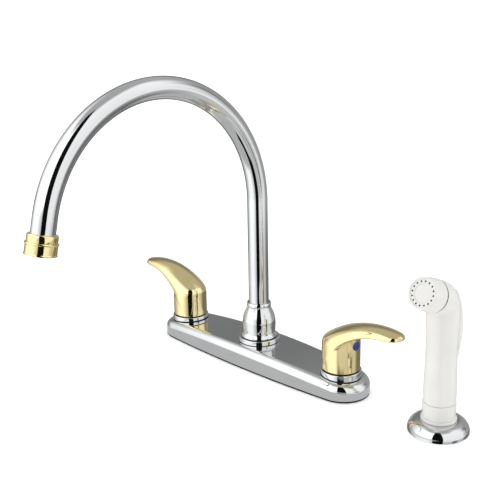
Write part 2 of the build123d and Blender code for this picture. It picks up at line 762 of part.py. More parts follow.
def make_sprayer_coupling():
    coupling = rod(TAIL_R, -TAIL_LENGTH, coupling_floor) + rod(COUPLING_R, coupling_floor, COUPLING_TOP)
    coupling += rod(SPIGOT_R, COUPLING_TOP, spigot_top)
    coupling -= rod(INLET_SWIVEL_R + RUN, -TAIL_LENGTH, COUPLING_TOP + RUN)
    coupling -= rod(INLET_SWIVEL_BORE_R, COUPLING_TOP, spigot_top)
    return Pos(sprayer_x, 0, 0) * coupling


def head_sweep(radius, end_s):
    """The bent head from the handle's top to a place along the nozzle's axis."""
    section = Plane(origin=(sprayer_x, 0, bend_start_z)) * Circle(radius)
    hub = Axis((sprayer_x, -HEAD_BEND_R, bend_start_z), (1, 0, 0))
    elbow = revolve(section, hub, 90 - NOZZLE_TILT)
    return elbow + nozzle * rod(radius, bend_end_s, end_s)


def make_sprayer_body():
    waist = (HANDLE_WAIST_R, HANDLE_WAIST_Z)
    handle = turned(
        Spline((HANDLE_FOOT_R, handle_floor), waist, (HEAD_R, bend_start_z), tangents=[(0, 1), (0, 1)]),
        *Polyline(
            (HEAD_R, bend_start_z), (0, bend_start_z), (0, handle_floor), (HANDLE_FOOT_R, handle_floor)
        ).edges(),
    )
    body = Pos(sprayer_x, 0, 0) * handle + head_sweep(HEAD_R, NOZZLE_RING_S)
    body -= nozzle * rod(NOZZLE_BORE_R, bend_end_s, NOZZLE_RING_S)
    body -= rod(SPIGOT_R + SEAT, handle_floor, spigot_top + SEAT, sprayer_x)
    body -= rod(WATER_R, spigot_top, VALVE_Z, sprayer_x, WATER_LOW_Y)
    body -= rod(WATER_R, VALVE_Z, HEAD_AXIS_Z, sprayer_x, WATER_HIGH_Y)
    body -= valve_bore(VALVE_CHAMBER_R, VALVE_CHAMBER_FRONT, VALVE_CHAMBER_BACK)
    body -= valve_bore(VALVE_STEM_R + RUN, VALVE_CHAMBER_BACK, VALVE_POCKET_Y)
    body -= valve_bore(VALVE_POCKET_R, VALVE_POCKET_Y, SLOT_FLOOR_Y)
    return body - trigger_slot() - pivot_bar(PIVOT_R + SEAT, PIVOT_LENGTH)


def valve_bore(radius, front, back):
    """A cylinder along Y at the valve's height."""
    bar = Cylinder(radius, back - front, align=(Align.CENTER, Align.CENTER, Align.MIN))
    return Pos(sprayer_x, front, VALVE_Z) * Rot(-90, 0, 0) * bar


def pivot_bar(radius, length):
    """A cylinder along X at the trigger's pivot."""
    return crossbar(radius, sprayer_x - length / 2, sprayer_x + length / 2, PIVOT_Z, PIVOT_Y)


def trigger_slot():
    """The open back of the handle that the trigger swings in."""
    width = TRIGGER_WIDTH + TRIGGER_SIDE * 2
    low = TRIGGER_FOOT_Z - TRIGGER_SIDE * 2
    high = TRIGGER_HEAD_Z + TRIGGER_SIDE * 2
    depth = HEAD_BEND_R * 2
    slot = Pos(sprayer_x, SLOT_FLOOR_Y + depth / 2, (low + high) / 2) * Box(width, depth, high - low)
    return slot + pivot_bar(PIVOT_HUB_R + TRIGGER_SIDE, width)


def make_trigger():
    """A thumb paddle along the back of the handle, hung from a hub under the head."""
    outer = Spline(
        (TRIGGER_FOOT_Y, TRIGGER_FOOT_Z), (TRIGGER_BELLY_Y, TRIGGER_BELLY_Z), (TRIGGER_HEAD_Y, TRIGGER_HEAD_Z)
    )
    inner = Polyline(
        (TRIGGER_HEAD_Y, TRIGGER_HEAD_Z),
        (SLOT_FLOOR_Y + TRIGGER_SIDE, TRIGGER_HEAD_Z),
        (SLOT_FLOOR_Y + TRIGGER_SIDE, PIVOT_Z),
        (TRIGGER_INNER_Y, PIVOT_Z - PIVOT_HUB_R * 2),
        (TRIGGER_FOOT_Y - TRIGGER_FOOT, TRIGGER_FOOT_Z),
        (TRIGGER_FOOT_Y, TRIGGER_FOOT_Z),
    )
    paddle = extrude(Plane.YZ * make_face([outer, *inner.edges()]), TRIGGER_WIDTH / 2, both=True)
    long_edges = paddle.edges().filter_by(GeomType.BSPLINE)
    paddle = Pos(sprayer_x, 0, 0) * fillet(long_edges, TRIGGER_EDGE)
    return paddle + pivot_bar(PIVOT_HUB_R, TRIGGER_WIDTH) - pivot_bar(PIVOT_R + RUN, PIVOT_LENGTH)


def make_trigger_pin():
    return pivot_bar(PIVOT_R, PIVOT_LENGTH)


valve_head_back = TRIGGER_INNER_Y - OPEN
valve_head_front = valve_head_back - VALVE_HEAD
valve_seal_front = VALVE_CHAMBER_BACK - VALVE_SEAL - RUN


def make_valve_stem():
    stem = valve_bore(VALVE_STEM_R, valve_seal_front, valve_head_front)
    return stem + valve_bore(VALVE_HEAD_R, valve_head_front, valve_head_back)


def make_valve_seal():
    seal = valve_bore(VALVE_SEAL_R, valve_seal_front - VALVE_SEAL, VALVE_CHAMBER_BACK - RUN)
    return seal - valve_bore(VALVE_STEM_R + SEAT, valve_seal_front, VALVE_CHAMBER_BACK)


def make_valve_spring():
    """A coil spring round the stem, between its pocket's floor and the stem's head."""
    free = valve_head_front - VALVE_POCKET_Y - (SPRING_WIRE_R + RUN) * 2
    coil = Helix(free / SPRING_TURNS, free, SPRING_COIL_R)
    wire = sweep((coil ^ 0) * Circle(SPRING_WIRE_R), coil)
    return Pos(sprayer_x, VALVE_POCKET_Y + SPRING_WIRE_R + RUN, VALVE_Z) * Rot(-90, 0, 0) * wire


cap_start = NOZZLE_RING_S + NOZZLE_SEAL
cap_end = cap_start + CAP_LENGTH
face_end = cap_end - FACE_RECESS
face_start = face_end - FACE_THICK


def make_nozzle_seal():
    return nozzle * pipe(NOZZLE_SEAL_R, NOZZLE_BORE_R, NOZZLE_RING_S, cap_start)


def make_nozzle_cap():
    cap = turned_points(
        (NOZZLE_BORE_R, cap_start),
        (CAP_R, cap_start),
        (CAP_FACE_R, cap_end),
        (CAP_BORE_R, cap_end),
        (CAP_BORE_R, face_start),
        (NOZZLE_BORE_R, face_start),
    )
    rim = cap.edges().filter_by(GeomType.CIRCLE).sort_by(Axis.Z)[-2:].sort_by(SortBy.RADIUS)[-1]
    return nozzle * fillet(rim, CAP_ROUND)


def make_nozzle_face():
    """The spray disc with its ring of jets and a dished middle."""
    face = rod(CAP_BORE_R - SEAT, face_start, face_end)
    jets = PolarLocations(FACE_CIRCLE_R, FACE_HOLES) * Circle(FACE_HOLE_R)
    face -= Pos(0, 0, face_start) * extrude(Sketch() + jets, FACE_THICK)
    return nozzle * (face - rod(FACE_DISH_R, face_end - FACE_DISH, face_end))


# Write one file per piece
pieces = {
    "base_gasket": make_base_gasket(),
    "deck_plate": make_deck_plate(),
    "spout_ring": make_spout_ring(),
    "spout_body": make_spout_body(),
    "spout_nut": make_spout_nut(),
    "spout_bearing_ring": make_bearing_ring(),
    "diverter_housing": make_diverter_housing(),
    "diverter_poppet": make_diverter_poppet(),
    "mounting_washers": Compound(make_washers()),
    "mounting_nuts": Compound(make_nuts()),
    "spout_tube": make_spout_tube(),
    "spout_collar": make_spout_collar(),
    "spout_seals": Compound(make_spout_seals()),
    "spout_end_collar": make_end_collar(),
    "aerator_housing": make_aerator_housing(),
    "aerator_insert": make_aerator_insert(),
    "aerator_washer": make_aerator_washer(),
    "sprayer_flange": make_sprayer_flange(),
    "sprayer_guide": make_sprayer_guide(),
    "sprayer_nut": make_sprayer_nut(),
    "sprayer_inlet": make_sprayer_inlet(),
    "sprayer_coupling": make_sprayer_coupling(),
    "sprayer_body": make_sprayer_body(),
    "nozzle_seal": make_nozzle_seal(),
    "nozzle_cap": make_nozzle_cap(),
    "nozzle_face": make_nozzle_face(),
    "spray_trigger": make_trigger(),
    "trigger_pin": make_trigger_pin(),
    "spray_valve_stem": make_valve_stem(),
    "spray_valve_seal": make_valve_seal(),
    "spray_valve_spring": make_valve_spring(),
}
lever = make_lever()
index_button = make_index_button()
set_screw = make_set_screw()
for side, x in (("hot", -handle_x), ("cold", handle_x)):
    pieces[f"{side}_valve_body"] = make_valve_body(x)
    pieces[f"{side}_crossover_tube"] = make_crossover_tube(x)
    pieces[f"{side}_seat_seal"] = make_seat_seal(x)
    pieces[f"{side}_fixed_disc"] = make_fixed_disc(x)
    pieces[f"{side}_moving_disc"] = make_moving_disc(x)
    pieces[f"{side}_cartridge_cage"] = make_cartridge_cage(x)
    pieces[f"{side}_bonnet"] = make_bonnet(x)
    pieces[f"{side}_stem"] = make_stem(x)
    pieces[f"{side}_stem_ring"] = make_stem_ring(x)
    pieces[f"{side}_lever_ring"] = make_lever_ring(x)
    pieces[f"{side}_lever"] = on_side(lever, x)
    pieces[f"{side}_index_button"] = on_side(index_button, x)
    pieces[f"{side}_set_screw"] = on_side(set_screw, x)

os.makedirs("parts", exist_ok=True)
for name, piece in pieces.items():
    export_step(piece, f"parts/{name}.step")
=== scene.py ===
import json
import math

import bpy
import numpy as np
from mathutils import Matrix, Vector


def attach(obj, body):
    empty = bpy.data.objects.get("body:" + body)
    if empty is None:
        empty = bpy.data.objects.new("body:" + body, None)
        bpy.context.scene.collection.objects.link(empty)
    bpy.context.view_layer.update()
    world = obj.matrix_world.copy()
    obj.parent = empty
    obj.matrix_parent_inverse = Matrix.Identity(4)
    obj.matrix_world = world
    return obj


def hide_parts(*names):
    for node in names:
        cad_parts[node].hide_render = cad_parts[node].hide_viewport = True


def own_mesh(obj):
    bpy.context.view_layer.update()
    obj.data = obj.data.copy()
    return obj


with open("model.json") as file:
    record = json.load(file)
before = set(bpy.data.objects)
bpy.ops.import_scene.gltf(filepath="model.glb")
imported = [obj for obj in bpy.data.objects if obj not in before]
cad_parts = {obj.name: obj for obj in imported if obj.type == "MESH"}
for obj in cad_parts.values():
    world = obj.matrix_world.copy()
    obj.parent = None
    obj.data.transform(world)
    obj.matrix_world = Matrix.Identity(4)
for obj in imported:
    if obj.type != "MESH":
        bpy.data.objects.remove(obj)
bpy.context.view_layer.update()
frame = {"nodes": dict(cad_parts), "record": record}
nodes = frame["nodes"]
slot_of = {s["node"]: s["material_slot"] for s in frame["record"]["subparts"]}

# All sizes are in millimetres, in the frame of the solids, unless a comment says otherwise
MM = 0.001
HANDLE_X = 101.6
SPRAYER_X = 203.2
SIDES = (("hot", -1), ("cold", 1))
X_AXIS = np.array((1.0, 0, 0))

# Meshing: the angle of a sharp edge in degrees, and how a net is pulled onto its field
SHARP = 40
CELL_CORNERS = 8
NET_PASSES = 8
NET_REACH = 0.6
SLOPE_STEP = 0.01
SLOPE_FLOOR = 0.05
TINY = 1e-9


# Mesh helpers
def add_piece(name, verts, faces, body, replaced, slot, normals=None, sharp=SHARP):
    """Make a smooth mesh from points in millimetres, put it on its body and give it its slot's material."""
    mesh = bpy.data.meshes.new(name)
    mesh.from_pydata([tuple(v) for v in np.asarray(verts, float) * MM], [], faces)
    mesh.validate()
    mesh.polygons.foreach_set("use_smooth", [True] * len(mesh.polygons))
    if normals is None:
        mesh.set_sharp_from_angle(angle=math.radians(sharp))
    else:
        mesh.normals_split_custom_set_from_vertices([tuple(n) for n in normals])
    piece = bpy.data.objects.new(name, mesh)
    bpy.context.scene.collection.objects.link(piece)
    mesh.materials.append(materials[slot])
    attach(piece, body)
    if replaced:
        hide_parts(*replaced)
    return piece


def turns(count):
    """Evenly spaced angles round a full turn."""
    return np.arange(count) * 2 * math.pi / count


def grid_faces(rows, cols, close_rows=False, close_cols=True, base=0):
    """Quads over a grid of points held row by row."""
    faces = []
    for i in range(rows if close_rows else rows - 1):
        for j in range(cols if close_cols else cols - 1):
            a, b = i * cols, ((i + 1) % rows) * cols
            k = (j + 1) % cols
            faces.append((base + a + j, base + a + k, base + b + k, base + b + j))
    return faces


def drum_faces(segments, base):
    """A drum between two circles of points: its wall, its lower end and its upper end."""
    lower = tuple(range(base + segments - 1, base - 1, -1))
    upper = tuple(range(base + segments, base + 2 * segments))
    return grid_faces(2, segments, base=base) + [lower, upper]


def flipped(faces):
    """The same faces, turned to the other side."""
    return [f[::-1] for f in faces]


def arc(start, middle, end, count=12):
    """Points on the circle through three points, from start to end."""
    (ax, ay), (bx, by), (cx, cy) = start, middle, end
    d = 2 * (ax * (by - cy) + bx * (cy - ay) + cx * (ay - by))
    ux = ((ax**2 + ay**2) * (by - cy) + (bx**2 + by**2) * (cy - ay) + (cx**2 + cy**2) * (ay - by)) / d
    uy = ((ax**2 + ay**2) * (cx - bx) + (bx**2 + by**2) * (ax - cx) + (cx**2 + cy**2) * (bx - ax)) / d
    radius = math.hypot(ax - ux, ay - uy)
    a0, a1, a2 = (math.atan2(y - uy, x - ux) for x, y in (start, middle, end))
    turn = (a2 - a0) % (2 * math.pi)
    if (a1 - a0) % (2 * math.pi) > turn:
        turn -= 2 * math.pi
    return [(ux + radius * math.cos(a0 + turn * i / count), uy + radius * math.sin(a0 + turn * i / count))
            for i in range(count + 1)]


def curve(points, count=10):
    """A smooth line through points."""
    p = [np.array(q, float) for q in points]
    p = [2 * p[0] - p[1]] + p + [2 * p[-1] - p[-2]]
    out = []
    for i in range(1, len(p) - 2):
        for j in range(count):
            t = j / count
            a = 2 * p[i]
            b = p[i + 1] - p[i - 1]
            c = 2 * p[i - 1] - 5 * p[i] + 4 * p[i + 1] - p[i + 2]
            d = 3 * p[i] - p[i - 1] - 3 * p[i + 1] + p[i + 2]
            out.append(tuple(0.5 * (a + b * t + c * t**2 + d * t**3)))
    return out + [tuple(p[-2])]


def rounded(*corners, count=5):
    """A closed outline whose corners (r, z, radius) are rounded off."""
    out = []
    for i, (x, y, radius) in enumerate(corners):
        here = np.array((x, y), float)
        if radius == 0:
            out.append((x, y))
            continue
        before = np.array(corners[i - 1][:2], float)
        after = np.array(corners[(i + 1) % len(corners)][:2], float)
        u, v = before - here, after - here
        u, v = u / np.linalg.norm(u), v / np.linalg.norm(v)
        half = math.acos(max(-1, min(1, float(u @ v)))) / 2
        reach = radius / math.tan(half)
        start, end = here + u * reach, here + v * reach
        centre = here + (u + v) / np.linalg.norm(u + v) * radius / math.sin(half)
        top = centre + (here - centre) / np.linalg.norm(here - centre) * radius
        out += arc(tuple(start), tuple(top), tuple(end), count)
    return out


def turned(name, outline, body, replaced, slot, x=0.0, plane=None, segments=144, sharp=SHARP):
    """A body turned about Z, or about a plane's Z, from a closed outline of (radius, height) points."""
    angle = turns(segments)
    o = np.array(outline, float)
    r, z = o[:, 0:1], o[:, 1:2]
    verts = np.stack([r * np.cos(angle), r * np.sin(angle), z * np.ones(segments)], -1).reshape(-1, 3)
    if plane is not None:
        origin, way = np.array(plane[0], float), np.array(plane[1], float)
        up = np.cross(way, X_AXIS)
        verts = origin + verts[:, 0:1] * X_AXIS + verts[:, 1:2] * up + verts[:, 2:3] * way
    verts = verts + np.array((x, 0, 0))
    area = sum(o[i - 1, 0] * o[i, 1] - o[i, 0] * o[i - 1, 1] for i in range(len(o)))
    faces = grid_faces(len(o), segments, close_rows=True)
    if area < 0:
        faces = flipped(faces)
    return add_piece(name, verts, faces, body, replaced, slot, sharp=sharp)


def drill(piece, holes, top, segments=96):
    """Cut upright round holes, each an (x, radius), through a piece from the deck up to a height."""
    verts, faces = [], []
    for x, radius in holes:
        faces += drum_faces(segments, len(verts))
        for z in (0.0, top):
            verts += [(x + radius * math.cos(t), radius * math.sin(t), z) for t in turns(segments)]
    mesh = bpy.data.meshes.new("cutter")
    mesh.from_pydata([tuple(v) for v in np.array(verts) * MM], [], faces)
    cutter = bpy.data.objects.new("cutter", mesh)
    bpy.context.scene.collection.objects.link(cutter)
    cut = piece.modifiers.new("holes", "BOOLEAN")
    cut.operation = "DIFFERENCE"
    cut.solver = "EXACT"
    cut.object = cutter
    drilled = bpy.data.meshes.new_from_object(piece.evaluated_get(bpy.context.evaluated_depsgraph_get()))
    piece.modifiers.clear()
    piece.data = drilled
    drilled.set_sharp_from_angle(angle=math.radians(SHARP))
    bpy.data.objects.remove(cutter)


def surface_net(field, low, high, step):
    """A closed mesh on the zero level of a field, with the field's own normals."""
    axes = [np.arange(lo - 2 * step, hi + 3 * step, step) for lo, hi in zip(low, high)]
    inside = field(*np.meshgrid(*axes, indexing="ij")) < 0
    count = np.zeros([n - 1 for n in inside.shape], int)
    for i in (0, 1):
        for j in (0, 1):
            for k in (0, 1):
                count += inside[i:i + count.shape[0], j:j + count.shape[1], k:k + count.shape[2]]
    active = (count > 0) & (count < CELL_CORNERS)
    index = np.full(count.shape, -1)
    index[active] = np.arange(active.sum())
    cells = np.argwhere(active)
    p = np.array([a[0] for a in axes]) + (cells + 0.5) * step

    def slope(q):
        rows = [field(*(q + d).T) - field(*(q - d).T) for d in np.eye(3) * SLOPE_STEP]
        return np.stack(rows, -1) / (2 * SLOPE_STEP)

    for _ in range(NET_PASSES):
        g = slope(p)
        move = (field(*p.T) / np.maximum((g * g).sum(1), SLOPE_FLOOR))[:, None] * g
        size = np.linalg.norm(move, axis=1, keepdims=True)
        p = p - move * np.minimum(1, step * NET_REACH / np.maximum(size, TINY))
    faces = []
    for axis in range(3):
        b, c = (axis + 1) % 3, (axis + 2) % 3
        lower = np.take(inside, range(inside.shape[axis] - 1), axis)
        upper = np.take(inside, range(1, inside.shape[axis]), axis)
        for spot in np.argwhere(lower != upper):
            ring = []
            for db, dc in ((-1, -1), (0, -1), (0, 0), (-1, 0)):
                cell = spot.copy()
                cell[b] += db
                cell[c] += dc
                ring.append(int(index[tuple(cell)]))
            faces.append(tuple(ring) if lower[tuple(spot)] else tuple(ring[::-1]))
    n = slope(p)
    return p, faces, n / np.maximum(np.linalg.norm(n, axis=1, keepdims=True), TINY)


def smax(a, b, k):
    """The larger of two fields, with a rounded edge."""
    return np.maximum(a, b) + np.maximum(k - np.abs(a - b), 0) ** 2 / (4 * k)


def smin(a, b, k):
    """The smaller of two fields, with a rounded inner corner."""
    return -smax(-a, -b, k)


# Materials: noise between these two shares drives colour and roughness.
# Scales are in cycles per metre, and a bump's depth is in metres.
NOISE_LOW = 0.3
NOISE_HIGH = 0.7
COLOUR_DETAIL = 3.0
GRAIN_DETAIL = 6.0
LOOKS = {
    "chrome": dict(
        low=(0.69, 0.705, 0.71), high=(0.735, 0.75, 0.755), metallic=1,
        rough=(0.025, 0.06), colour_scale=30, grain_scale=900),
    "polished_brass": dict(
        low=(0.9, 0.757, 0.395), high=(0.96, 0.815, 0.44), metallic=1,
        rough=(0.05, 0.1), colour_scale=45, grain_scale=1500, bump=0.000003),
    "raw_brass": dict(
        low=(0.62, 0.44, 0.18), high=(0.75, 0.57, 0.28), metallic=1,
        rough=(0.22, 0.4), colour_scale=120, grain_scale=700, bump=0.00002, stretch=(1, 1, 6)),
    "white_plastic": dict(
        low=(0.68, 0.675, 0.65), high=(0.715, 0.71, 0.685), metallic=0,
        rough=(0.2, 0.28), colour_scale=60, grain_scale=2600, bump=0.000006, IOR=1.5),
    "black_rubber": dict(
        low=(0.005, 0.005, 0.006), high=(0.012, 0.012, 0.012), metallic=0,
        rough=(0.55, 0.75), colour_scale=200, grain_scale=1800, bump=0.00003, Specular_IOR_Level=0.15),
    "ceramic": dict(
        low=(0.84, 0.82, 0.77), high=(0.9, 0.89, 0.86), metallic=0,
        rough=(0.15, 0.25), colour_scale=150, grain_scale=1600, bump=0.000004),
    "steel": dict(
        low=(0.5, 0.51, 0.52), high=(0.62, 0.63, 0.64), metallic=1,
        rough=(0.2, 0.36), colour_scale=90, grain_scale=1200, bump=0.000006, stretch=(1, 12, 1)),
    "nylon": dict(
        low=(0.68, 0.68, 0.65), high=(0.76, 0.76, 0.74), metallic=0,
        rough=(0.4, 0.55), colour_scale=90, grain_scale=1500, bump=0.00001),
    "red_plastic": dict(
        low=(0.42, 0.012, 0.012), high=(0.55, 0.02, 0.018), metallic=0,
        rough=(0.16, 0.26), colour_scale=250, grain_scale=2200, bump=0.000005),
    "blue_plastic": dict(
        low=(0.006, 0.022, 0.17), high=(0.01, 0.035, 0.24), metallic=0,
        rough=(0.16, 0.26), colour_scale=250, grain_scale=2200, bump=0.000005),
}


def new_material(name, metallic, **sockets):
    """A Principled material, with its node tree and its shader node."""
    mat = bpy.data.materials.new(name)
    mat.use_nodes = True
    bsdf = mat.node_tree.nodes["Principled BSDF"]
    bsdf.inputs["Metallic"].default_value = metallic
    for key, value in sockets.items():
        bsdf.inputs[key.replace("_", " ")].default_value = value
    return mat, mat.node_tree, bsdf


def noise(tree, scale, detail=4.0, stretch=(1, 1, 1)):
    """A noise over the object's own coordinates, in cycles per metre."""
    coords = tree.nodes.new("ShaderNodeTexCoord")
    mapping = tree.nodes.new("ShaderNodeMapping")
    mapping.inputs["Scale"].default_value = stretch
    tex = tree.nodes.new("ShaderNodeTexNoise")
    tex.inputs["Scale"].default_value = scale
    tex.inputs["Detail"].default_value = detail
    tree.links.new(coords.outputs["Object"], mapping.inputs["Vector"])
    tree.links.new(mapping.outputs["Vector"], tex.inputs["Vector"])
    return tex


def tint(tree, bsdf, tex, low, high):
    """Vary the base colour between two tones."""
    ramp = tree.nodes.new("ShaderNodeValToRGB")
    ramp.color_ramp.elements[0].position = NOISE_LOW
    ramp.color_ramp.elements[1].position = NOISE_HIGH
    ramp.color_ramp.elements[0].color = (*low, 1)
    ramp.color_ramp.elements[1].color = (*high, 1)
    tree.links.new(tex.outputs["Fac"], ramp.inputs["Fac"])
    tree.links.new(ramp.outputs["Color"], bsdf.inputs["Base Color"])


def vary_roughness(tree, bsdf, tex, low, high):
    """Vary the roughness between two values."""
    span = tree.nodes.new("ShaderNodeMapRange")
    span.inputs["From Min"].default_value = NOISE_LOW
    span.inputs["From Max"].default_value = NOISE_HIGH
    span.inputs["To Min"].default_value = low
    span.inputs["To Max"].default_value = high
    tree.links.new(tex.outputs["Fac"], span.inputs["Value"])
    tree.links.new(span.outputs["Result"], bsdf.inputs["Roughness"])


def add_bump(tree, bsdf, tex, depth):
    """Give the surface a fine relief of a depth in metres."""
    bump = tree.nodes.new("ShaderNodeBump")
    bump.inputs["Strength"].default_value = 1.0
    bump.inputs["Distance"].default_value = depth
    tree.links.new(tex.outputs["Fac"], bump.inputs["Height"])
    tree.links.new(bump.outputs["Normal"], bsdf.inputs["Normal"])


def make_material(slot, low, high, metallic, rough, colour_scale, grain_scale, bump=0.0,
                  stretch=(1, 1, 1), **sockets):
    """A material that varies slightly in colour and roughness, with a fine bump where it has one."""
    mat, tree, bsdf = new_material(slot, metallic, **sockets)
    tint(tree, bsdf, noise(tree, colour_scale, COLOUR_DETAIL), low, high)
    grain = noise(tree, grain_scale, GRAIN_DETAIL, stretch)
    vary_roughness(tree, bsdf, grain, *rough)
    if bump:
        add_bump(tree, bsdf, grain, bump)
    return mat


materials = {slot: make_material(slot, **look) for slot, look in LOOKS.items()}
for name, node in nodes.items():
    node.data.materials.clear()
    node.data.materials.append(materials[slot_of[name]])

# Deck plate and gasket: an oval of two long side arcs and two round ends, with an arched top
PLATE_A = 127.8
PLATE_B = 28.3
PLATE_END_R = 24.0
PLATE_CREST = 20.6
PLATE_CROWN_R = 1292.32
PLATE_SHOULDER = 6.5
PLATE_WALL = 2.2
NECK_HOLE = 13.3
POST_HOLE = 13.5
WALL_ROWS = 6
SHOULDER_ROWS = 15
TOP_ROWS = 14
SPINE_GAP = 0.05
GASKET_TOP = 1.6
GASKET_INSET = 0.3
GASKET_EDGE = 0.2
GASKET_INNER = 7.0


def oval(inset, count=480):
    """Points on the plate's outline, moved in by an inset."""
    a, b, e = PLATE_A - inset, PLATE_B - inset, PLATE_END_R - inset
    side_r = ((a - e) ** 2 + b**2 - e**2) / (2 * (b - e))
    swing = math.atan2(a - e, side_r - b)
    eighth = count // 8
    side_turns = np.linspace(swing, 0, eighth + 1)
    end_turns = np.linspace(0, math.pi / 2 - swing, eighth, endpoint=False)
    side = [(side_r * math.sin(t), b - side_r + side_r * math.cos(t)) for t in side_turns]
    end = [(a - e + e * math.cos(t), e * math.sin(t)) for t in end_turns]
    quarter = np.array(end + side[:-1])
    top = np.array([[0, b]])
    half = np.concatenate([quarter, top, (quarter * (-1, 1))[::-1]])
    return np.concatenate([half, (half * (1, -1))[::-1][1:-1]])


def crown(x, inset):
    """The height at x of the plate's arched top, or of an arch that lies an inset below it."""
    r = PLATE_CROWN_R - inset
    return PLATE_CREST - PLATE_CROWN_R + np.sqrt(r**2 - x**2)


def plate_rows(inset, shoulder):
    """Rows of points from the lower edge, over the shoulder, to the middle of the top."""
    rows = []
    edge = oval(inset)
    lip = crown(edge[:, 0], inset) - shoulder
    for share in np.linspace(0, 1, WALL_ROWS):
        rows.append(np.column_stack([edge, GASKET_TOP + (lip - GASKET_TOP) * share]))
    for turn in np.linspace(0, math.pi / 2, SHOULDER_ROWS)[1:]:
        ring = oval(inset + shoulder * (1 - math.cos(turn)))
        rows.append(np.column_stack([ring, crown(ring[:, 0], inset) - shoulder * (1 - math.sin(turn))]))
    for step in np.linspace(inset + shoulder, PLATE_END_R - SPINE_GAP, TOP_ROWS)[1:]:
        ring = oval(step)
        rows.append(np.column_stack([ring, crown(ring[:, 0], inset)]))
    return rows


def plate_skin(rows, base):
    """Faces over rows of points, closed across the narrow last row."""
    count = len(rows[0])
    faces = grid_faces(len(rows), count, base=base)
    last = base + (len(rows) - 1) * count
    for i in range(count // 2):
        j, k = (count - i) % count, count - i - 1
        ring = [last + i, last + i + 1, last + k, last + j]
        faces.append(tuple(dict.fromkeys(ring)))
    return faces


outer_rows = plate_rows(0, PLATE_SHOULDER)
inner_rows = plate_rows(PLATE_WALL, PLATE_SHOULDER - PLATE_WALL)
row_len = len(outer_rows[0])
inner_base = len(outer_rows) * row_len
plate_faces = plate_skin(outer_rows, 0) + flipped(plate_skin(inner_rows, inner_base))
for j in range(row_len):
    k = (j + 1) % row_len
    plate_faces.append((j, inner_base + j, inner_base + k, k))
plate_verts = np.concatenate(outer_rows + inner_rows)
plate = add_piece("plate_shell", plate_verts, plate_faces, "base", ["deck_plate"], "chrome")
drill(plate, ((-HANDLE_X, NECK_HOLE), (0.0, POST_HOLE), (HANDLE_X, NECK_HOLE)), PLATE_CREST * 2)

gasket_corner = GASKET_INSET + GASKET_EDGE
gasket_outline = (
    (GASKET_INSET, GASKET_EDGE),
    (gasket_corner, 0),
    (GASKET_INNER, 0),
    (GASKET_INNER, GASKET_TOP),
    (gasket_corner, GASKET_TOP),
    (GASKET_INSET, GASKET_TOP - GASKET_EDGE),
)
gasket_rows = []
for inset, z in gasket_outline:
    ring = oval(inset)
    gasket_rows.append(np.column_stack([ring, np.full(len(ring), z)]))
gasket_faces = flipped(grid_faces(len(gasket_rows), row_len, close_rows=True))
add_piece("gasket_pad", np.concatenate(gasket_rows), gasket_faces, "base", ["base_gasket"], "black_rubber",
          sharp=30)

# Rings on the plate: an edge is an arc through three (radius, height) points
RING_SEGMENTS = 160
FOOT_ROWS = 6
NECK_BORE = 13.05
POST_BORE = 13.25
LEVER_RING_EDGE = ((18.2, 20.9), (17.975, 21.475), (17.4, 21.7))
SPOUT_RING_EDGE = ((19.5, 24.2), (19.3, 24.7), (18.8, 24.9))
# Thin black bands under the rings paint the shade where a ring meets the plate; each ring is lifted by its
# band's height
LEVER_SHADE_BAND = 0.9
LEVER_SHADE_BAND_R = 18.2
SPOUT_SHADE_BAND = 0.5
SPOUT_SHADE_BAND_R = 19.4
SHADE_BAND_GAP_BELOW = 0.03
SHADE_BAND_GAP_ABOVE = 0.02


def inset_at(px, py):
    """How far a point on the plate lies inside its outline."""
    middle = PLATE_A - PLATE_END_R
    side_r = (middle**2 + PLATE_B**2 - PLATE_END_R**2) / (2 * (PLATE_B - PLATE_END_R))
    by_side = side_r - np.hypot(px, np.abs(py) + side_r - PLATE_B)
    by_end = PLATE_END_R - np.hypot(np.abs(px) - middle, py)
    on_end = np.abs(px) - middle > np.abs(py) * middle / (side_r - PLATE_B)
    return np.where(on_end, by_end, by_side)


def circle_on_plate(x, radius, lift):
    """A circle of points that follows the plate's top at a small height over it."""
    angle = turns(RING_SEGMENTS)
    px, py = x + radius * np.cos(angle), radius * np.sin(angle)
    depth = np.clip(PLATE_SHOULDER - inset_at(px, py), 0, PLATE_SHOULDER)
    top = crown(px, 0) - PLATE_SHOULDER + np.sqrt(PLATE_SHOULDER**2 - depth**2)
    return np.stack([px, py, top + lift], -1)


def fitted_ring(name, outline, bore, x, replaced, lift):
    """A turned ring whose foot follows the plate's top."""
    angle = turns(RING_SEGMENTS)
    rows = []
    for r, z in outline + [(bore, outline[-1][1])]:
        rows.append(np.stack([x + r * np.cos(angle), r * np.sin(angle), np.full(RING_SEGMENTS, z)], -1))
    for r in np.linspace(bore, outline[0][0], FOOT_ROWS):
        rows.append(circle_on_plate(x, r, lift))
    faces = grid_faces(len(rows), RING_SEGMENTS, close_rows=True)
    add_piece(name, np.concatenate(rows), faces, "base", replaced, "chrome", sharp=50)


def ring_foot_shade(name, radius, bore, x, height):
    """A thin black band between a ring and the plate, painted shade for the dark line where they meet."""
    low, high = SHADE_BAND_GAP_BELOW, height - SHADE_BAND_GAP_ABOVE
    corners = ((radius, low), (radius, high), (bore, high), (bore, low))
    rows = [circle_on_plate(x, r, lift) for r, lift in corners]
    faces = grid_faces(len(rows), RING_SEGMENTS, close_rows=True)
    add_piece(name, np.concatenate(rows), faces, "base", [], "black_rubber", sharp=30)


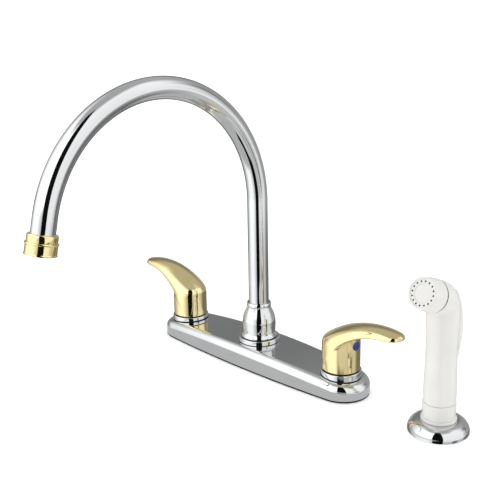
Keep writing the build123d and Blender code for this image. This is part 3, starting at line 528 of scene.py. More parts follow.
for side, way in SIDES:
    lever_edge = arc(*LEVER_RING_EDGE, count=10)
    fitted_ring(f"{side}_ring", lever_edge, NECK_BORE, way * HANDLE_X, [f"{side}_lever_ring"], LEVER_SHADE_BAND)
    ring_foot_shade(f"{side}_ring_shade_band", LEVER_SHADE_BAND_R, NECK_BORE, way * HANDLE_X, LEVER_SHADE_BAND)
spout_edge = arc(*SPOUT_RING_EDGE, count=6)
fitted_ring("spout_ring_top", spout_edge, POST_BORE, 0.0, ["spout_ring"], SPOUT_SHADE_BAND)
ring_foot_shade("spout_ring_shade_band", SPOUT_SHADE_BAND_R, POST_BORE, 0.0, SPOUT_SHADE_BAND)

# Washer and bell-shaped nut of the spout
WASHER_BORE = 13.3
WASHER_R = 16.9
WASHER_LOW = 24.93
WASHER_HIGH = 25.68
WASHER_EDGE = 0.1
BELL_FOOT_R = 17.0
BELL_FOOT = 25.7
BELL_FOOT_TOP = 26.2
BELL_SIDE = ((17.0, 26.5), (16.3, 27.6), (15.4, 29.6), (15.65, 33.5), (15.8, 37.5), (15.6, 42.0),
             (14.63, 46.5), (13.0, 50.6), (11.1, 54.6))
BELL_LIP = ((11.1, 54.6), (11.6, 57.7), (11.1, 59.0))
BELL_TOP = 59.0
BELL_BORE = 9.825
BELL_SHELF = 42.1
BELL_HOLLOW_R = 13.25

washer = rounded((WASHER_BORE, WASHER_LOW, 0), (WASHER_R, WASHER_LOW, WASHER_EDGE),
                 (WASHER_R, WASHER_HIGH, WASHER_EDGE), (WASHER_BORE, WASHER_HIGH, 0))
turned("spout_nut_washer", washer, "base", [], "black_rubber")
bell = [(BELL_FOOT_R, BELL_FOOT), (BELL_FOOT_R, BELL_FOOT_TOP)]
bell += curve(BELL_SIDE)
bell += arc(*BELL_LIP, count=10)[1:]
bell += [(BELL_BORE, BELL_TOP), (BELL_BORE, BELL_SHELF)]
bell += [(BELL_HOLLOW_R, BELL_SHELF), (BELL_HOLLOW_R, BELL_FOOT)]
turned("bell_nut", bell, "base", ["spout_nut"], "chrome")

# Domed flange of the sprayer
FLANGE_R = 24.7
FLANGE_EDGE = 1.4
FLANGE_DOME = ((24.7, 1.8), (21.79, 7.416), (15.0, 9.6))
FLANGE_TOP = 9.6
FLANGE_UNDER = 8.0
FLANGE_BORE = 13.42
FLANGE_INNER_DOME = ((15.0, 8.0), (20.67, 5.976), (23.1, 0.9))
FLANGE_INNER_R = 23.1

flange = [(FLANGE_R, 0), (FLANGE_R, FLANGE_EDGE)]
flange += arc(*FLANGE_DOME, count=28)
flange += [(FLANGE_BORE, FLANGE_TOP), (FLANGE_BORE, FLANGE_UNDER)]
flange += arc(*FLANGE_INNER_DOME, count=12)
flange += [(FLANGE_INNER_R, 0)]
turned("sprayer_dome", flange, "base", ["sprayer_flange"], "chrome", SPRAYER_X)

# Threaded shanks and sprayer holder; a thread's flanks are shares of its pitch
THREAD_FLANKS = (0.12, 0.42, 0.58, 0.88)
SHANK_BORE = 6.2
SHANK_END = -62.0
TAIL_TOP = -44.0
TAIL_R = 10.45
SHANK_LOW = -43.9
SHANK_HIGH = -4.0
SHANK_R = 11.0
SHANK_PITCH = 1.81
SHANK_DEPTH = 0.9
VALVE_LOW = 2.0
VALVE_R = 15.0
VALVE_TOP = 12.4
NECK_LOW = 12.6
NECK_TOP = 25.6
NECK_R = 13.0
NECK_PITCH = 1.4
NECK_DEPTH = 0.6
CARTRIDGE_R = 10.6
CARTRIDGE_SEAT = 3.2
HOLDER_BORE = 12.2
HOLDER_LOW = -44.0
HOLDER_THREAD_TOP = -2.0
HOLDER_R = 13.4
HOLDER_PITCH = 2.4
HOLDER_DEPTH = 0.6
HOLDER_LIP = ((13.4, 9.6), (14.1, 9.6), (14.4, 9.9))
HOLDER_LIP_OUTER = ((14.4, 11.4), (14.2, 11.95), (13.75, 12.2))
HOLDER_LIP_INNER = ((12.9, 12.2), (12.45, 11.95), (12.2, 11.4))


def threaded(low, high, radius, pitch, depth):
    """An outline stretch with thread grooves, drawn upward."""
    root = radius - depth
    out = [(root, low)]
    z = low
    while z + pitch < high:
        for share, r in zip(THREAD_FLANKS, (root, radius, radius, root)):
            out.append((r, z + pitch * share))
        z += pitch
    return out + [(root, high)]


valve = [(SHANK_BORE, SHANK_END)]
valve += threaded(SHANK_END, TAIL_TOP, TAIL_R, SHANK_PITCH, SHANK_DEPTH)
valve += threaded(SHANK_LOW, SHANK_HIGH, SHANK_R, SHANK_PITCH, SHANK_DEPTH)
valve += [(SHANK_R, VALVE_LOW), (VALVE_R, VALVE_LOW), (VALVE_R, VALVE_TOP), (NECK_R, VALVE_TOP)]
valve += threaded(NECK_LOW, NECK_TOP, NECK_R, NECK_PITCH, NECK_DEPTH)
valve += [(CARTRIDGE_R, NECK_TOP), (CARTRIDGE_R, CARTRIDGE_SEAT), (SHANK_BORE, CARTRIDGE_SEAT)]
for side, way in SIDES:
    turned(f"{side}_valve", valve, "base", [f"{side}_valve_body"], "raw_brass", way * HANDLE_X,
           segments=72, sharp=25)

holder = [(HOLDER_BORE, HOLDER_LOW)]
holder += threaded(HOLDER_LOW, HOLDER_THREAD_TOP, HOLDER_R, HOLDER_PITCH, HOLDER_DEPTH)
holder += [*HOLDER_LIP]
holder += arc(*HOLDER_LIP_OUTER, count=5)
holder += arc(*HOLDER_LIP_INNER, count=4)
turned("sprayer_holder", holder, "base", ["sprayer_guide"], "white_plastic", SPRAYER_X, segments=96, sharp=30)

# Spout: a straight rise, a bend and a short tail, with a collar and an aerator at its end
SPOUT_R = 9.525
SPOUT_BORE = 8.325
SPOUT_START = 32.05
SPOUT_RISE = 157.6
SPOUT_BEND_R = 111.4
SPOUT_BEND = math.radians(167.0)
SPOUT_TAIL = 11.9
SPOUT_INTO_COLLAR = 3.1
SPOUT_STATIONS = 200
SPOUT_SEGMENTS = 72
COLLAR_BORE = 9.55
COLLAR_R = 11.8
COLLAR_END = 6.3
COLLAR_POCKET_R = 10.93
COLLAR_POCKET = 3.15
COLLAR_ROUND = 1.4
COLLAR_EDGE = 0.15
AERATOR_START = 3.5
AERATOR_NECK_R = 10.9
AERATOR_SHOULDER = 6.32
AERATOR_UPPER_BEAD = ((12.3, 6.32), (12.9, 7.2), (12.3, 8.1))
AERATOR_R = 12.3
AERATOR_WALL_END = 14.6
AERATOR_LOWER_BEAD = ((12.3, 14.7), (12.6, 15.5), (12.3, 16.3))
AERATOR_END = 16.3
AERATOR_BORE = 10.6
AERATOR_SHELF = 7.6


def path_frame(along):
    """A point and a direction on the spout's centreline, by distance from its start."""
    rise = SPOUT_RISE - SPOUT_START
    bend = SPOUT_BEND_R * SPOUT_BEND
    if along <= rise:
        return np.array((0, 0, SPOUT_START + along)), np.array((0, 0, 1.0))
    turn = min(along - rise, bend) / SPOUT_BEND_R
    point = np.array((0, -SPOUT_BEND_R * (1 - math.cos(turn)), SPOUT_RISE + SPOUT_BEND_R * math.sin(turn)))
    way = np.array((0, -math.sin(turn), math.cos(turn)))
    return point + way * max(0.0, along - rise - bend), way


spout_length = SPOUT_RISE - SPOUT_START + SPOUT_BEND_R * SPOUT_BEND + SPOUT_TAIL
outlet = path_frame(spout_length)
stations = [path_frame(t) for t in np.linspace(0, spout_length + SPOUT_INTO_COLLAR, SPOUT_STATIONS)]
tube_turns = turns(SPOUT_SEGMENTS)[:, None]
tube_rows = []
for radius, order in ((SPOUT_R, stations), (SPOUT_BORE, stations[::-1])):
    for point, way in order:
        up = np.cross(way, X_AXIS)
        tube_rows.append(point + radius * (np.cos(tube_turns) * X_AXIS + np.sin(tube_turns) * up))
tube_faces = grid_faces(len(tube_rows), SPOUT_SEGMENTS, close_rows=True)
add_piece("gooseneck", np.concatenate(tube_rows), tube_faces, "spout", ["spout_tube"], "chrome")

collar = rounded((COLLAR_BORE, 0, 0), (COLLAR_R, 0, COLLAR_ROUND), (COLLAR_R, COLLAR_END, COLLAR_EDGE),
                 (COLLAR_POCKET_R, COLLAR_END, 0), (COLLAR_POCKET_R, COLLAR_POCKET, 0),
                 (COLLAR_BORE, COLLAR_POCKET, 0))
turned("outlet_collar", collar, "spout", ["spout_end_collar"], "polished_brass", plane=outlet,
       segments=120, sharp=50)
aerator = [(AERATOR_NECK_R, AERATOR_START), (AERATOR_NECK_R, AERATOR_SHOULDER)]
aerator += arc(*AERATOR_UPPER_BEAD, count=10)
aerator += [(AERATOR_R, AERATOR_WALL_END)]
aerator += arc(*AERATOR_LOWER_BEAD, count=8)
aerator += [(AERATOR_BORE, AERATOR_END), (AERATOR_BORE, AERATOR_SHELF), (SPOUT_BORE, AERATOR_SHELF),
            (SPOUT_BORE, AERATOR_START)]
turned("outlet_housing", aerator, "spout", ["aerator_housing"], "polished_brass", plane=outlet,
       segments=120, sharp=50)

# Lever handles: a tapered plan under a doughnut-shaped hood, with an arch under the arm
LEVER_R = 17.0
LEVER_TIP_R = 10.3
LEVER_TIP_X = 54.4
LEVER_TOP = 71.6
LEVER_BOTTOM = 22.7
HOOD_X = 42.0
HOOD_R = 70.6
HOOD_TUBE_R = 21.0
ARCH_X = 49.866
ARCH_Z = 3.082
ARCH_R = 61.2
ARCH_END_X = 44.0
ARCH_END_Z = 64.0
ARCH_SLOPE = 0.0476
ARCH_SCALE = 0.9989
HOOD_BLEND = 2.6
ARCH_BLEND = 2.0
FLANK_BLEND = 1.3
FOOT_BLEND = 0.5
POCKET_R = 14.6
POCKET_TOP = 35.0
STEM_HOLE_R = 4.85
STEM_HOLE_TOP = 49.3
LEVER_BOX = ((-18, -18, 20), (66, 18, 72))
LEVER_CELL = 0.62
BUTTON_Z = 47.0
BUTTON_R = 4.1
BUTTON_BACK = 14.5
BUTTON_AXIS_R = 0.01
BUTTON_DOME = ((4.1, 17.2), (2.3, 17.9), (0.01, 18.1))
BUTTON_SEGMENTS = 48
BUTTON_SLOTS = {"hot": "red_plastic", "cold": "blue_plastic"}


def lever_field(x, y, z):
    """Negative inside a lever whose arm runs along +X from a hub at the origin."""
    taper = (LEVER_R - LEVER_TIP_R) / LEVER_TIP_X
    straight = math.sqrt(1 - taper * taper)
    aside = np.abs(y)
    along = straight * x - taper * aside
    hub = np.hypot(x, y) - LEVER_R
    tip = np.hypot(x - LEVER_TIP_X, y) - LEVER_TIP_R
    flank = straight * aside + taper * x - LEVER_R
    plan = np.where(along < 0, hub, np.where(along > straight * LEVER_TIP_X, tip, flank))
    reach = np.hypot(x - HOOD_X, z - (LEVER_TOP - HOOD_R - HOOD_TUBE_R))
    hood = np.hypot(np.maximum(reach - HOOD_R, 0), y) - HOOD_TUBE_R
    round_arch = ARCH_R - np.hypot(x - ARCH_X, z - ARCH_Z)
    flat_arch = (ARCH_END_Z + (x - ARCH_END_X) * ARCH_SLOPE - z) * ARCH_SCALE
    arch = np.where(x < ARCH_END_X, round_arch, flat_arch)
    lever = smax(plan, hood, HOOD_BLEND)
    lever = smax(lever, smin(hub, arch, ARCH_BLEND), FLANK_BLEND)
    lever = smax(lever, LEVER_BOTTOM - z, FOOT_BLEND)
    pocket = np.maximum(np.hypot(x, y) - POCKET_R, z - POCKET_TOP)
    stem = np.maximum(np.hypot(x, y) - STEM_HOLE_R, z - STEM_HOLE_TOP)
    return np.maximum(lever, -np.minimum(pocket, stem))


lever_verts, lever_faces, lever_normals = surface_net(lever_field, *LEVER_BOX, LEVER_CELL)
button_outline = [(BUTTON_AXIS_R, BUTTON_BACK), (BUTTON_R, BUTTON_BACK)] + arc(*BUTTON_DOME, count=10)
button_faces = grid_faces(len(button_outline), BUTTON_SEGMENTS, close_rows=True)
button_turns = turns(BUTTON_SEGMENTS)
for side, way in SIDES:
    mirror = np.array((way, 1, 1))
    verts = lever_verts * mirror + np.array((way * HANDLE_X, 0, 0))
    faces = lever_faces if way > 0 else flipped(lever_faces)
    add_piece(f"{side}_handle_lever", verts, faces, f"{side}_handle", [f"{side}_lever"], "polished_brass",
              lever_normals * mirror)
    rows = []
    for r, reach in button_outline:
        x = np.full(BUTTON_SEGMENTS, way * (HANDLE_X + reach))
        rows.append(np.stack([x, r * np.cos(button_turns), BUTTON_Z + r * np.sin(button_turns)], -1))
    faces = button_faces if way > 0 else flipped(button_faces)
    add_piece(f"{side}_button", np.concatenate(rows), faces, f"{side}_handle", [f"{side}_index_button"],
              BUTTON_SLOTS[side])

# Sprayer body: a waisted handle, an elbow and a tilted head, with a slot for the paddle
HEAD_AXIS_Z = 111.4
HEAD_R = 13.4
HEAD_BEND_R = 14.5
NOZZLE_TILT = math.radians(21.5)
NOZZLE_RING = 16.4
HANDLE_LOW = 25.1
HANDLE_FOOT_R = 13.3
WAIST_Z = 74.0
WAIST_R = 12.6
WAIST_SLOPE = 0.02
PIVOT_Y = 2.5
PIVOT_Z = 109.0
SLOT_HALF = 8.7
SLOT_FLOOR = 5.0
SLOT_LOW = 60.2
SLOT_HIGH = 121.8
SLOT_HUB_R = 4.3
HEAD_EDGE = 0.3
HANDLE_EDGE = 0.4
SLOT_EDGE = 0.5
SPRAYER_BOX = ((-14.5, -27, 25), (14.5, 14.5, 132))
SPRAYER_CELL = 0.75

nozzle_way = np.array((0, -math.cos(NOZZLE_TILT), math.sin(NOZZLE_TILT)))
head_turn = math.pi / 2 - NOZZLE_TILT
bend_end = HEAD_BEND_R * (1 - math.cos(head_turn)) / math.cos(NOZZLE_TILT)
bend_z = HEAD_AXIS_Z + bend_end * nozzle_way[2] - HEAD_BEND_R * math.sin(head_turn)


def ease(share):
    """A smooth step from 0 to 1."""
    return 3 * share**2 - 2 * share**3


def handle_radius(z):
    """The handle's radius by height: foot, waist and head, joined smoothly."""
    lower_span, upper_span = WAIST_Z - HANDLE_LOW, bend_z - WAIST_Z
    u = np.clip((z - HANDLE_LOW) / lower_span, 0, 1)
    v = np.clip((z - WAIST_Z) / upper_span, 0, 1)
    lower = HANDLE_FOOT_R + (WAIST_R - HANDLE_FOOT_R) * ease(u) + (u**3 - u**2) * lower_span * WAIST_SLOPE
    upper = WAIST_R + (HEAD_R - WAIST_R) * ease(v) + (v**3 - 2 * v**2 + v) * upper_span * WAIST_SLOPE
    return np.where(z < WAIST_Z, lower, upper)


def slot_field(x, y, z):
    """Negative inside the slot that holds the paddle and its hub."""
    across = np.abs(x) - SLOT_HALF
    box = np.maximum(np.maximum(across, SLOT_FLOOR - y), np.maximum(SLOT_LOW - z, z - SLOT_HIGH))
    hub = np.maximum(np.hypot(y - PIVOT_Y, z - PIVOT_Z) - SLOT_HUB_R, across)
    return np.minimum(box, hub)


def sprayer_field(x, y, z):
    """Negative inside the sprayer's handle and head, about its own axis."""
    handle = np.hypot(x, y) - handle_radius(z)
    dy, dz = y + HEAD_BEND_R, z - bend_z
    elbow = np.hypot(np.hypot(dy, dz) - HEAD_BEND_R, x) - HEAD_R
    ahead = y * nozzle_way[1] + (z - HEAD_AXIS_Z) * nozzle_way[2]
    across = y * nozzle_way[2] - (z - HEAD_AXIS_Z) * nozzle_way[1]
    head = np.hypot(across, x) - HEAD_R
    in_elbow = np.arctan2(dz, dy) < head_turn
    body = np.where(dz < 0, handle, np.where(in_elbow, elbow, head))
    body = smax(body, ahead - NOZZLE_RING, HEAD_EDGE)
    body = smax(body, HANDLE_LOW - z, HANDLE_EDGE)
    return smax(body, -slot_field(x, y, z), SLOT_EDGE)


sprayer_place = np.array((SPRAYER_X, 0, 0))
verts, faces, normals = surface_net(sprayer_field, *SPRAYER_BOX, SPRAYER_CELL)
add_piece("sprayer_shell", verts + sprayer_place, faces, "sprayer", ["sprayer_body"], "white_plastic",
          normals)

# Thumb paddle: its front is a parabola through three (z, y) points, its back a line through four
PADDLE_LOW = 61.0
PADDLE_HIGH = 121.0
PADDLE_FRONT = ((61.0, 12.8), (88.0, 18.6), (121.0, 5.6))
PADDLE_FRONT_SCALE = 0.95
PADDLE_BACK_Z = (60.0, 101.2, 109.0, 122.0)
PADDLE_BACK_Y = (10.2, 10.0, 5.4, 5.4)
PADDLE_HALF = 8.3
PADDLE_HUB_R = 3.9
PIN_HOLE_R = 1.55
PADDLE_FRONT_BLEND = 3.4
PADDLE_BACK_BLEND = 0.5
PADDLE_LOW_BLEND = 1.2
PADDLE_HIGH_BLEND = 5.0
PADDLE_HUB_BLEND = 0.8
PADDLE_BOX = ((-8.5, -2, 60.5), (8.5, 19.5, 121.5))
PADDLE_CELL = 0.6


def parabola(z, low, middle, high):
    """The y at z of the parabola through three (z, y) points."""
    (za, ya), (zb, yb), (zc, yc) = low, middle, high
    first = ya * (z - zb) * (z - zc) / ((za - zb) * (za - zc))
    second = yb * (z - za) * (z - zc) / ((zb - za) * (zb - zc))
    third = yc * (z - za) * (z - zb) / ((zc - za) * (zc - zb))
    return first + second + third


def trigger_field(x, y, z):
    """Negative inside the thumb paddle."""
    across = np.abs(x) - PADDLE_HALF
    from_pivot = np.hypot(y - PIVOT_Y, z - PIVOT_Z)
    front = (y - parabola(z, *PADDLE_FRONT)) * PADDLE_FRONT_SCALE
    back = np.interp(z, PADDLE_BACK_Z, PADDLE_BACK_Y) - y
    paddle = smax(across, front, PADDLE_FRONT_BLEND)
    paddle = smax(paddle, back, PADDLE_BACK_BLEND)
    paddle = smax(paddle, PADDLE_LOW - z, PADDLE_LOW_BLEND)
    paddle = smax(paddle, z - PADDLE_HIGH, PADDLE_HIGH_BLEND)
    hub = smax(from_pivot - PADDLE_HUB_R, across, PADDLE_BACK_BLEND)
    return np.maximum(smin(paddle, hub, PADDLE_HUB_BLEND), PIN_HOLE_R - from_pivot)


verts, faces, normals = surface_net(trigger_field, *PADDLE_BOX, PADDLE_CELL)
add_piece("thumb_paddle", verts + sprayer_place, faces, "trigger", ["spray_trigger"], "white_plastic",
          normals)

# Valve spring: a coil of round wire rising along Y between two heights, with its own copy of its mesh
VALVE_Z = 76.0
SPRING_LOW_Y = 1.05
SPRING_HIGH_Y = 8.05
SPRING_COIL_R = 2.6
SPRING_WIRE_R = 0.35
SPRING_TURNS = 4
SPRING_STEPS = 32
SPRING_SIDES = 10

coil_turn = np.linspace(0, SPRING_TURNS * 2 * math.pi, SPRING_TURNS * SPRING_STEPS + 1)
coil_rise = np.linspace(SPRING_LOW_Y + SPRING_WIRE_R, SPRING_HIGH_Y - SPRING_WIRE_R, len(coil_turn))
wire_turn = turns(SPRING_SIDES)
coil_rows = []
for t, rise in zip(coil_turn, coil_rise):
    reach = SPRING_COIL_R + SPRING_WIRE_R * np.cos(wire_turn)
    height = rise + SPRING_WIRE_R * np.sin(wire_turn)
    coil_rows.append(np.stack([SPRAYER_X + reach * math.cos(t), height, VALVE_Z - reach * math.sin(t)], -1))
coil_last = len(coil_rows) * SPRING_SIDES - 1
coil_faces = flipped(grid_faces(len(coil_rows), SPRING_SIDES))
coil_faces.append(tuple(range(SPRING_SIDES)))
coil_faces.append(tuple(range(coil_last, coil_last - SPRING_SIDES, -1)))
spring = add_piece("valve_spring", np.concatenate(coil_rows), coil_faces, "sprayer", ["spray_valve_spring"],
                   "steel")
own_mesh(spring)

# Collar at the sprayer's foot, which sits in the holder
FOOT_R = 11.7
FOOT_LOW = -20.0
FOOT_ROUND = 0.4
FOOT_BORE = 6.85
FOOT_BORE_TOP = 24.65
SKIRT_R = 13.5
SKIRT_LOW = 12.3
SKIRT_TOP = 25.0
SKIRT_EDGE = 0.2
SPIGOT_R = 9.0
SPIGOT_TOP = 30.1
SPIGOT_BORE = 4.0

foot = rounded((FOOT_R, FOOT_LOW, FOOT_ROUND), (FOOT_R, SKIRT_LOW, 0), (SKIRT_R, SKIRT_LOW, SKIRT_EDGE),
               (SKIRT_R, SKIRT_TOP, SKIRT_EDGE), (SPIGOT_R, SKIRT_TOP, 0), (SPIGOT_R, SPIGOT_TOP, 0),
               (SPIGOT_BORE, SPIGOT_TOP, 0), (SPIGOT_BORE, FOOT_BORE_TOP, 0), (FOOT_BORE, FOOT_BORE_TOP, 0),
               (FOOT_BORE, FOOT_LOW, 0))
turned("sprayer_collar", foot, "sprayer", ["sprayer_coupling"], "white_plastic", SPRAYER_X, segments=120)

# Nozzle: a dark seal, a hood, and black plugs just under the spray face in its jet holes, painted shade for
# the deep holes
NOZZLE_SEAL = 1.5
NOZZLE_SEAL_R = 13.3
NOZZLE_BORE = 9.6
CAP_LENGTH = 14.1
CAP_DEPTH = 10.9
CAP_R = 13.6
CAP_END_R = 12.7
CAP_RECESS_R = 10.9
CAP_BACK_EDGE = 0.15
CAP_END_ROUND = 1.3
CAP_RECESS_EDGE = 0.2
FACE_RECESS = 0.6
JETS = 16
JET_CIRCLE_R = 9.25
JET_R = 0.74
JET_DEPTH = 0.2
JET_SEGMENTS = 20

nozzle = (np.array((SPRAYER_X, 0, HEAD_AXIS_Z)), nozzle_way)
cap_start = NOZZLE_RING + NOZZLE_SEAL
cap_end = cap_start + CAP_LENGTH
cap_floor = cap_start + CAP_DEPTH
gland = [(NOZZLE_BORE, NOZZLE_RING), (NOZZLE_SEAL_R, NOZZLE_RING), (NOZZLE_SEAL_R, cap_start),
         (NOZZLE_BORE, cap_start)]
turned("nozzle_gland", gland, "sprayer", ["nozzle_seal"], "black_rubber", plane=nozzle, segments=96)
cap = rounded((NOZZLE_BORE, cap_start, 0), (CAP_R, cap_start, CAP_BACK_EDGE),
              (CAP_END_R, cap_end, CAP_END_ROUND), (CAP_RECESS_R, cap_end, CAP_RECESS_EDGE),
              (CAP_RECESS_R, cap_floor, 0), (NOZZLE_BORE, cap_floor, 0))
turned("nozzle_hood", cap, "sprayer", ["nozzle_cap"], "white_plastic", plane=nozzle, segments=120, sharp=45)

# Black plugs a little under the face in each jet hole: painted shade that makes the holes look deep
jet_up = np.cross(nozzle_way, X_AXIS)
jet_top = cap_end - FACE_RECESS - JET_DEPTH
jet_verts, jet_faces = [], []
for spot in turns(JETS):
    jet_faces += drum_faces(JET_SEGMENTS, len(jet_verts))
    for along in (jet_top - JET_DEPTH, jet_top):
        for t in turns(JET_SEGMENTS):
            u = JET_CIRCLE_R * math.cos(spot) + JET_R * math.cos(t)
            v = JET_CIRCLE_R * math.sin(spot) + JET_R * math.sin(t)
            jet_verts.append(nozzle[0] + u * X_AXIS + v * jet_up + along * nozzle_way)
add_piece("jet_shade_plugs", jet_verts, jet_faces, "sprayer", [], "black_rubber")

# Floor, a little under the deck; its sizes are in metres
FLOOR_HALF = 4.0
FLOOR_Z = -0.0005
FLOOR_LOW = (0.93, 0.93, 0.93)
FLOOR_HIGH = (0.95, 0.95, 0.95)
FLOOR_GLOW = 0.2

floor_mesh = bpy.data.meshes.new("floor")
corner_ways = ((-1, -1), (1, -1), (1, 1), (-1, 1))
floor_corners = [(x * FLOOR_HALF, y * FLOOR_HALF, FLOOR_Z) for x, y in corner_ways]
floor_mesh.from_pydata(floor_corners, [], [(0, 1, 2, 3)])
floor = bpy.data.objects.new("floor", floor_mesh)
bpy.context.scene.collection.objects.link(floor)
floor_mat, floor_tree, floor_bsdf = new_material(
    "floor_paper", 0, Specular_IOR_Level=0.0, Emission_Strength=FLOOR_GLOW)
tint(floor_tree, floor_bsdf, noise(floor_tree, scale=6, detail=2.0), FLOOR_LOW, FLOOR_HIGH)
vary_roughness(floor_tree, floor_bsdf, noise(floor_tree, scale=300), low=0.75, high=0.9)
floor_mesh.materials.append(floor_mat)
floor.visible_glossy = False

# Camera, fitted to the photo: angles in radians, focal length and centre in pixels of its frame
AZIMUTH = 0.7864
ELEVATION = 0.2590
ROLL = -0.0138
DISTANCE = 781.67
TARGET_X = 4.289
TARGET_Z = 132.15
FOCAL = 840.18
CENTRE = (262.36, 226.92)
IMAGE = 500.0
SENSOR = 36.0

back = Vector((
    math.sin(AZIMUTH) * math.cos(ELEVATION),
    -math.cos(AZIMUTH) * math.cos(ELEVATION),
    math.sin(ELEVATION),
))
right = Vector((math.cos(AZIMUTH), math.sin(AZIMUTH), 0))
up = back.cross(right)
camera_place = right * TARGET_X + Vector((0, 0, TARGET_Z)) + back * DISTANCE
rolled_right = right * math.cos(ROLL) + up * math.sin(ROLL)
rolled_up = up * math.cos(ROLL) - right * math.sin(ROLL)
camera_data = bpy.data.cameras.new("camera")
camera_data.sensor_width = SENSOR
camera_data.lens = FOCAL / IMAGE * SENSOR
camera_data.shift_x = (IMAGE / 2 - CENTRE[0]) / IMAGE
camera_data.shift_y = (CENTRE[1] - IMAGE / 2) / IMAGE
camera_data.clip_start = 0.01
camera = bpy.data.objects.new("camera", camera_data)
bpy.context.scene.collection.objects.link(camera)
facing = Matrix((rolled_right, rolled_up, back)).transposed().to_4x4()
camera.matrix_world = Matrix.Translation(camera_place * MM) @ facing
bpy.context.scene.camera = camera

# Cards that only reflections see: a grey one on the floor round the plate, painted shade for the shaded floor
# near the deck, one on the floor in front of the cold lever, and a dark upright one behind the camera
CARD_FADE = 0.4
FLOOR_SHADE_CARD_REACH = 26.0
FLOOR_SHADE_CARD_Z = -0.3
FLOOR_SHADE_CARD_LEVEL = 0.6
HUB_CARD_R = 66.0
HUB_CARD_PLACE = (188, -86, -0.4)
HUB_CARD_LEVEL = 0.72
HUB_CARD_SEGMENTS = 64
DARK_CARD_AWAY = 790.0
DARK_CARD_LEFT = -260.0
DARK_CARD_RIGHT = 210.0
DARK_CARD_LOW = -1500.0
DARK_CARD_HIGH = 2500.0
DARK_CARD_LEVEL = 0.005


def reflector(name, points, place, level, soft=None, turn=(0, 0, 0)):
    """A card that only mirror reflections see, with a fading edge where soft is its reach."""
    mesh = bpy.data.meshes.new(name)
    mesh.from_pydata([(x * MM, y * MM, 0) for x, y in points], [], [tuple(range(len(points)))])
    card = bpy.data.objects.new(name, mesh)
    card.location = [v * MM for v in place]
    card.rotation_euler = turn
    bpy.context.scene.collection.objects.link(card)
    mat = bpy.data.materials.new(name)
    mat.use_nodes = True
    tree = mat.node_tree
    tree.nodes.clear()
    out = tree.nodes.new("ShaderNodeOutputMaterial")
    glow = tree.nodes.new("ShaderNodeEmission")
    glow.inputs["Color"].default_value = (level, level, level, 1)
    surface = glow.outputs["Emission"]
    if soft:
        coords = tree.nodes.new("ShaderNodeTexCoord")
        mapping = tree.nodes.new("ShaderNodeMapping")
        mapping.inputs["Scale"].default_value = [1 / (soft * MM)] * 3
        fade = tree.nodes.new("ShaderNodeTexGradient")
        fade.gradient_type = "SPHERICAL"
        edge = tree.nodes.new("ShaderNodeMapRange")
        edge.inputs["From Max"].default_value = CARD_FADE
        clear = tree.nodes.new("ShaderNodeBsdfTransparent")
        blend = tree.nodes.new("ShaderNodeMixShader")
        tree.links.new(coords.outputs["Object"], mapping.inputs["Vector"])
        tree.links.new(mapping.outputs["Vector"], fade.inputs["Vector"])
        tree.links.new(fade.outputs["Fac"], edge.inputs["Value"])
        tree.links.new(edge.outputs["Result"], blend.inputs["Fac"])
        tree.links.new(clear.outputs["BSDF"], blend.inputs[1])
        tree.links.new(surface, blend.inputs[2])
        surface = blend.outputs["Shader"]
    tree.links.new(surface, out.inputs["Surface"])
    mesh.materials.append(mat)
    for ray in ("camera", "diffuse", "transmission", "volume_scatter", "shadow"):
        setattr(card, f"visible_{ray}", False)


# The grey card round the plate is painted shade: the floor near the deck as its reflections would show it in
# shade
floor_shade_shape = [tuple(p) for p in oval(-FLOOR_SHADE_CARD_REACH)]
reflector("floor_shade_card", floor_shade_shape, (0, 0, FLOOR_SHADE_CARD_Z), FLOOR_SHADE_CARD_LEVEL)
hub_shape = [(HUB_CARD_R * math.cos(t), HUB_CARD_R * math.sin(t)) for t in turns(HUB_CARD_SEGMENTS)]
reflector("hub_card", hub_shape, HUB_CARD_PLACE, HUB_CARD_LEVEL, HUB_CARD_R)
dark_shape = [(DARK_CARD_LEFT, DARK_CARD_LOW), (DARK_CARD_RIGHT, DARK_CARD_LOW),
              (DARK_CARD_RIGHT, DARK_CARD_HIGH), (DARK_CARD_LEFT, DARK_CARD_HIGH)]
dark_place = (math.sin(AZIMUTH) * DARK_CARD_AWAY, -math.cos(AZIMUTH) * DARK_CARD_AWAY, 0)
reflector("dark_card", dark_shape, dark_place, DARK_CARD_LEVEL, turn=(math.pi / 2, 0, AZIMUTH))

# Studio surroundings: for reflections, rings of panels one over the other, under a ceiling; for soft
# light, one ring under a sky. A panel starts, is full, stays full and ends at four directions, in
# degrees from the camera's side; its last number is its brightness. A fade is the pair of heights,
# of a direction's unit vector, between which one ring passes into the next.
LOW_PANELS = ((-140, -80, -50, -4, 1.3), (-1, 4, 38, 46, 0.65), (58, 66, 82, 102, 0.66))
HORIZON_PANELS = ((-164, -154, -136, -126, 0.3), (-125, -90, -46, -2, 1.4), (-1, 4, 84, 106, 1.1),
                  (108, 122, 145, 160, 0.4))
MIDDLE_PANELS = ((-150, -90, -8, -2, 1.6), (-1, 4, 92, 112, 1.15), (114, 122, 150, 168, 0.4))
HIGH_PANELS = ((-155, -98, -8, -2, 1.6), (-1, 4, 100, 130, 1.2))
SOFT_PANELS = ((-149, -130, -55, -37, 1.8), (-36, -18, 18, 36, 0.6), (37, 55, 130, 149, 1.8))
STEEP = 0.56
LOW_BACK = 0.2
HORIZON_BACK = 0.45
MIDDLE_BACK = 0.23
HIGH_BACK = 0.5
SOFT_BACK = 1.0
CEILING = 0.5
SKY = 1.15
BACKDROP = 1.05
LOW_FADE = (-0.72, -0.6)
HORIZON_FADE = (-0.31, -0.2)
MIDDLE_FADE = (0.1, 0.24)
HIGH_FADE = (0.42, 0.7)
CEILING_FADE = (0.82, 0.96)
SKY_FADE = (0.5, 0.9)

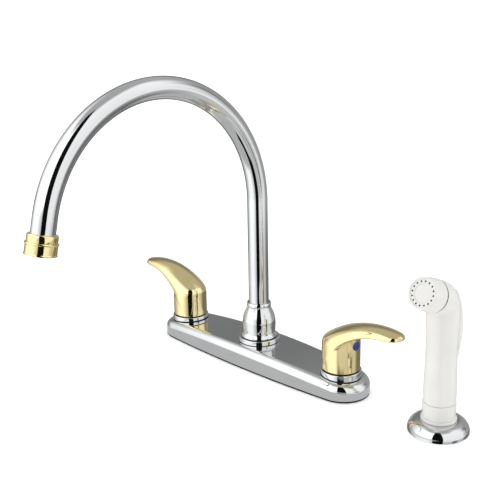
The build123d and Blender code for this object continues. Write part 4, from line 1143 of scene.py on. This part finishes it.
world = bpy.data.worlds.new("studio")
bpy.context.scene.world = world
world.use_nodes = True
tree = world.node_tree
tree.nodes.clear()
link = tree.links.new
output = tree.nodes.new("ShaderNodeOutputWorld")
coords = tree.nodes.new("ShaderNodeTexCoord")
split = tree.nodes.new("ShaderNodeSeparateXYZ")
turned_coords = tree.nodes.new("ShaderNodeVectorRotate")
turned_coords.rotation_type = "Z_AXIS"
turned_coords.inputs["Angle"].default_value = math.pi / 2 - AZIMUTH
link(coords.outputs["Generated"], turned_coords.inputs["Vector"])
link(turned_coords.outputs["Vector"], split.inputs["Vector"])
around = tree.nodes.new("ShaderNodeMath")
around.operation = "ARCTAN2"
link(split.outputs["Y"], around.inputs[0])
link(split.outputs["X"], around.inputs[1])
share = tree.nodes.new("ShaderNodeMapRange")
share.inputs["From Min"].default_value = -math.pi
share.inputs["From Max"].default_value = math.pi
link(around.outputs["Value"], share.inputs["Value"])


def ring_of_light(behind, panels):
    """Brightness by direction round the object: panels with soft edges in front of an even ground."""
    node = tree.nodes.new("ShaderNodeValToRGB")
    ramp = node.color_ramp
    bands = [(-180, behind)]
    for start, first, last, end, level in panels:
        bands += [(start, behind), (first, level), (last, level), (end, behind)]
    bands.append((180, behind))
    ramp.elements[1].position = 1.0
    for degrees, level in bands[1:-1]:
        ramp.elements.new((degrees + 180) / 360)
    for element, (degrees, level) in zip(ramp.elements, bands):
        element.color = (level, level, level, 1)
    link(share.outputs["Result"], node.inputs["Fac"])
    return node.outputs["Color"]


def by_height(below, above, low, high):
    """Blend two brightnesses, each a number or a socket, by the height of the direction."""
    height = tree.nodes.new("ShaderNodeMapRange")
    height.interpolation_type = "SMOOTHSTEP"
    height.inputs["From Min"].default_value = low
    height.inputs["From Max"].default_value = high
    link(split.outputs["Z"], height.inputs["Value"])
    blend = tree.nodes.new("ShaderNodeMix")
    blend.data_type = "RGBA"
    link(height.outputs["Result"], blend.inputs["Factor"])
    for socket, level in (("A", below), ("B", above)):
        if isinstance(level, float):
            blend.inputs[socket].default_value = (level, level, level, 1)
        else:
            link(level, blend.inputs[socket])
    return blend.outputs["Result"]


def background(colour):
    """A background of the colour from a socket, or the plain backdrop where there is none."""
    node = tree.nodes.new("ShaderNodeBackground")
    if colour is None:
        node.inputs["Color"].default_value = (1, 1, 1, 1)
        node.inputs["Strength"].default_value = BACKDROP
    else:
        link(colour, node.inputs["Color"])
    return node.outputs["Background"]


def choose(test, no, yes):
    """One of two shaders, by a socket that is 0 or 1."""
    node = tree.nodes.new("ShaderNodeMixShader")
    link(test, node.inputs["Fac"])
    link(no, node.inputs[1])
    link(yes, node.inputs[2])
    return node.outputs["Shader"]


rays = tree.nodes.new("ShaderNodeLightPath")
low_ring = ring_of_light(LOW_BACK, LOW_PANELS)
horizon_ring = ring_of_light(HORIZON_BACK, HORIZON_PANELS)
middle_ring = ring_of_light(MIDDLE_BACK, MIDDLE_PANELS)
high_ring = ring_of_light(HIGH_BACK, HIGH_PANELS)
around_table = by_height(STEEP, low_ring, *LOW_FADE)
around_foot = by_height(around_table, horizon_ring, *HORIZON_FADE)
around_middle = by_height(around_foot, middle_ring, *MIDDLE_FADE)
around_top = by_height(around_middle, high_ring, *HIGH_FADE)
mirrored = background(by_height(around_top, CEILING, *CEILING_FADE))
soft = background(by_height(ring_of_light(SOFT_BACK, SOFT_PANELS), SKY, *SKY_FADE))
lit = choose(rays.outputs["Is Diffuse Ray"], background(None), soft)
link(choose(rays.outputs["Is Glossy Ray"], lit, mirrored), output.inputs["Surface"])
bpy.context.scene.view_settings.view_transform = "Standard"
